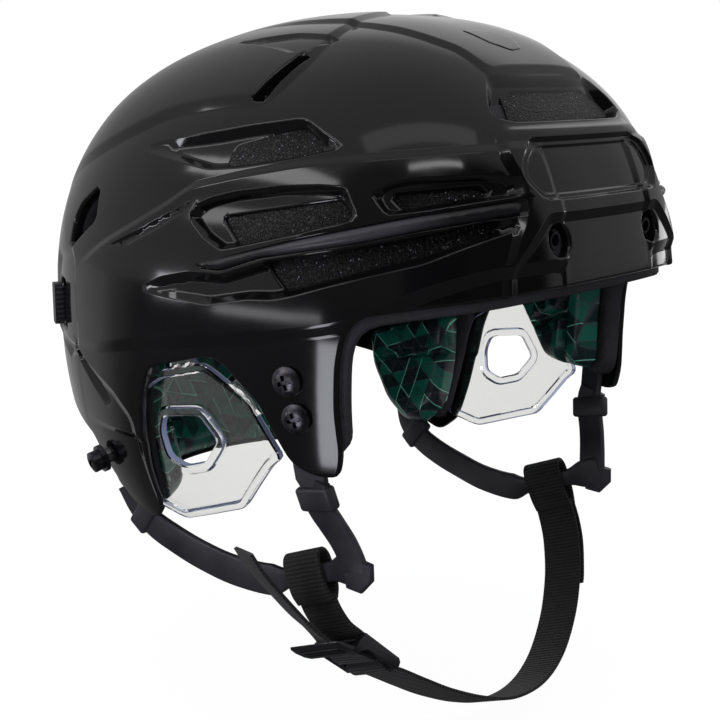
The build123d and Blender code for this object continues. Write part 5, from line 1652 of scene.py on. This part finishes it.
def make_floor():
    """Pale card that shows its shadow, glows white to the eye and reflects softly behind the helmet."""
    floor, tree, spots = blank("pale_floor_card")
    path = add(tree, "ShaderNodeLightPath").outputs
    seen = add(tree, MATH, path["Is Camera Ray"], path["Is Transmission Ray"], operation="MAXIMUM")
    heading = add(tree, VECTOR, spots, operation="NORMALIZE")
    behind = add(tree, VECTOR, heading, (0.51, 0.86, 0.0), operation="DOT_PRODUCT").outputs["Value"]
    sheen = add(tree, RAMP, behind, stops=[(0.28, (0.02, 0.02, 0.02, 1)), (0.55, (0.36, 0.36, 0.37, 1))])
    sheen = add(tree, MATH, path["Is Glossy Ray"], sheen, operation="MULTIPLY")
    away = add(tree, MATH, add(tree, VECTOR, spots, operation="LENGTH").outputs["Value"], 0.5, operation="MULTIPLY")
    lift = add(tree, RAMP, away, stops=[(0.10, (0.955, 0.955, 0.955, 1)), (0.30, WHITE)])
    glow = add(tree, "ShaderNodeEmission", lift, add(tree, MATH, seen, sheen, operation="MAXIMUM"))
    card = add(tree, "ShaderNodeBsdfDiffuse", linear("#4A4A4C"))
    add(tree, "ShaderNodeOutputMaterial", add(tree, "ShaderNodeAddShader", card, glow))
    corners = [(x * FLOOR_HALF, y * FLOOR_HALF, FLOOR_DROP) for x, y in ((-1, -1), (1, -1), (1, 1), (-1, 1))]
    mesh = bpy.data.meshes.new("floor_card")
    mesh.from_pydata(corners, [], [(0, 1, 2, 3)])
    mesh.materials.append(floor)
    placed_object("floor_card", mesh)


def make_air():
    """White to the eye; soft greys with one bright and two dark patches in reflections."""
    world = bpy.data.worlds.new("studio_air")
    world.use_nodes = True
    tree = world.node_tree
    tree.nodes.clear()
    path = add(tree, "ShaderNodeLightPath").outputs
    heading = add(tree, "ShaderNodeTexCoord").outputs["Generated"]
    height = add(tree, MATH, add(tree, SEPARATE, heading).outputs[2], 0.5, 0.5, operation="MULTIPLY_ADD")
    air = add(tree, RAMP, height, stops=AIR)
    for toward, low, high, gain in PATCHES:
        near = add(tree, VECTOR, heading, toward, operation="DOT_PRODUCT").outputs["Value"]
        share = add(tree, RANGE, {"Value": near, "From Min": low, "From Max": high, "To Min": 1.0, "To Max": gain},
                    interpolation_type="SMOOTHSTEP")
        air = add(tree, VECTOR, {0: air, 3: share}, operation="SCALE")
    glossy = add(tree, MIX, {0: path["Is Glossy Ray"], 6: (0.62, 0.62, 0.63, 1), 7: air}, data_type="RGBA")
    seen = add(tree, MATH, path["Is Camera Ray"], path["Is Transmission Ray"], operation="MAXIMUM")
    shade = add(tree, MIX, {0: seen, 6: glossy.outputs[2], 7: WHITE}, data_type="RGBA").outputs[2]
    add(tree, "ShaderNodeOutputWorld", add(tree, "ShaderNodeBackground", shade, 1.0))
    return world


def make_camera():
    """Camera where the photograph was taken."""
    turn, tilt, roll = map(math.radians, CAMERA_TURNS)
    back = way(turn, tilt)
    right = Vector((0, 0, 1)).cross(back).normalized()
    up = back.cross(right)
    axes = math.cos(roll) * right + math.sin(roll) * up, -math.sin(roll) * right + math.cos(roll) * up, back
    lens = bpy.data.cameras.new("photo_camera")
    lens.lens, lens.sensor_width, lens.clip_start = CAMERA_LENS, CAMERA_SENSOR, 0.01
    camera = placed_object("photo_camera", lens)
    camera.matrix_world = Matrix.Translation(CAMERA_PLACE) @ Matrix(axes).transposed().to_4x4()
    return camera


class HELMET_OT_stage(bpy.types.Operator):
    """Make the floor, the plain background, the soft lights and the camera."""
    bl_idname = "helmet.stage"
    bl_label = "Stage"

    def execute(self, context):
        make_floor()
        context.scene.world = make_air()
        for name, values in LAMPS.items():
            make_lamp(name, *values)
        context.scene.camera = make_camera()
        context.scene.view_settings.view_transform = "Standard"
        return {"FINISHED"}


OPERATORS = (
    HELMET_OT_shell, HELMET_OT_badge_seat, HELMET_OT_trim_bars, HELMET_OT_vent_meshes, HELMET_OT_liner,
    HELMET_OT_pads, HELMET_OT_ear_guards, HELMET_OT_fasteners, HELMET_OT_side_straps, HELMET_OT_chin_strap,
    HELMET_OT_fit_adjuster, HELMET_OT_stage,
)


class HELMET_PT_maker(bpy.types.Panel):
    """Lists the makers and what they read."""
    bl_label = "Ice hockey helmet"
    bl_idname = "HELMET_PT_maker"
    bl_space_type = "VIEW_3D"
    bl_region_type = "UI"
    bl_category = "Helmet"

    def draw(self, context):
        column = self.layout.column()
        for group in (context.scene.helmet_sizes, context.scene.helmet_colours):
            for name in group.bl_rna.properties.keys():
                if name not in ("rna_type", "name"):
                    column.prop(group, name)
        for operator in OPERATORS:
            column.operator(operator.bl_idname)


CLASSES = (HelmetSizes, HelmetColours) + OPERATORS + (HELMET_PT_maker,)


def register():
    for made in CLASSES:
        bpy.utils.register_class(made)
    bpy.types.Scene.helmet_sizes = PointerProperty(type=HelmetSizes)
    bpy.types.Scene.helmet_colours = PointerProperty(type=HelmetColours)


def unregister():
    del bpy.types.Scene.helmet_colours
    del bpy.types.Scene.helmet_sizes
    for made in reversed(CLASSES):
        bpy.utils.unregister_class(made)


def main():
    """Make every piece and the stage."""
    register()
    for operator in OPERATORS:
        group, name = operator.bl_idname.split(".")
        getattr(getattr(bpy.ops, group), name)()


if __name__ == "__main__":
    main()
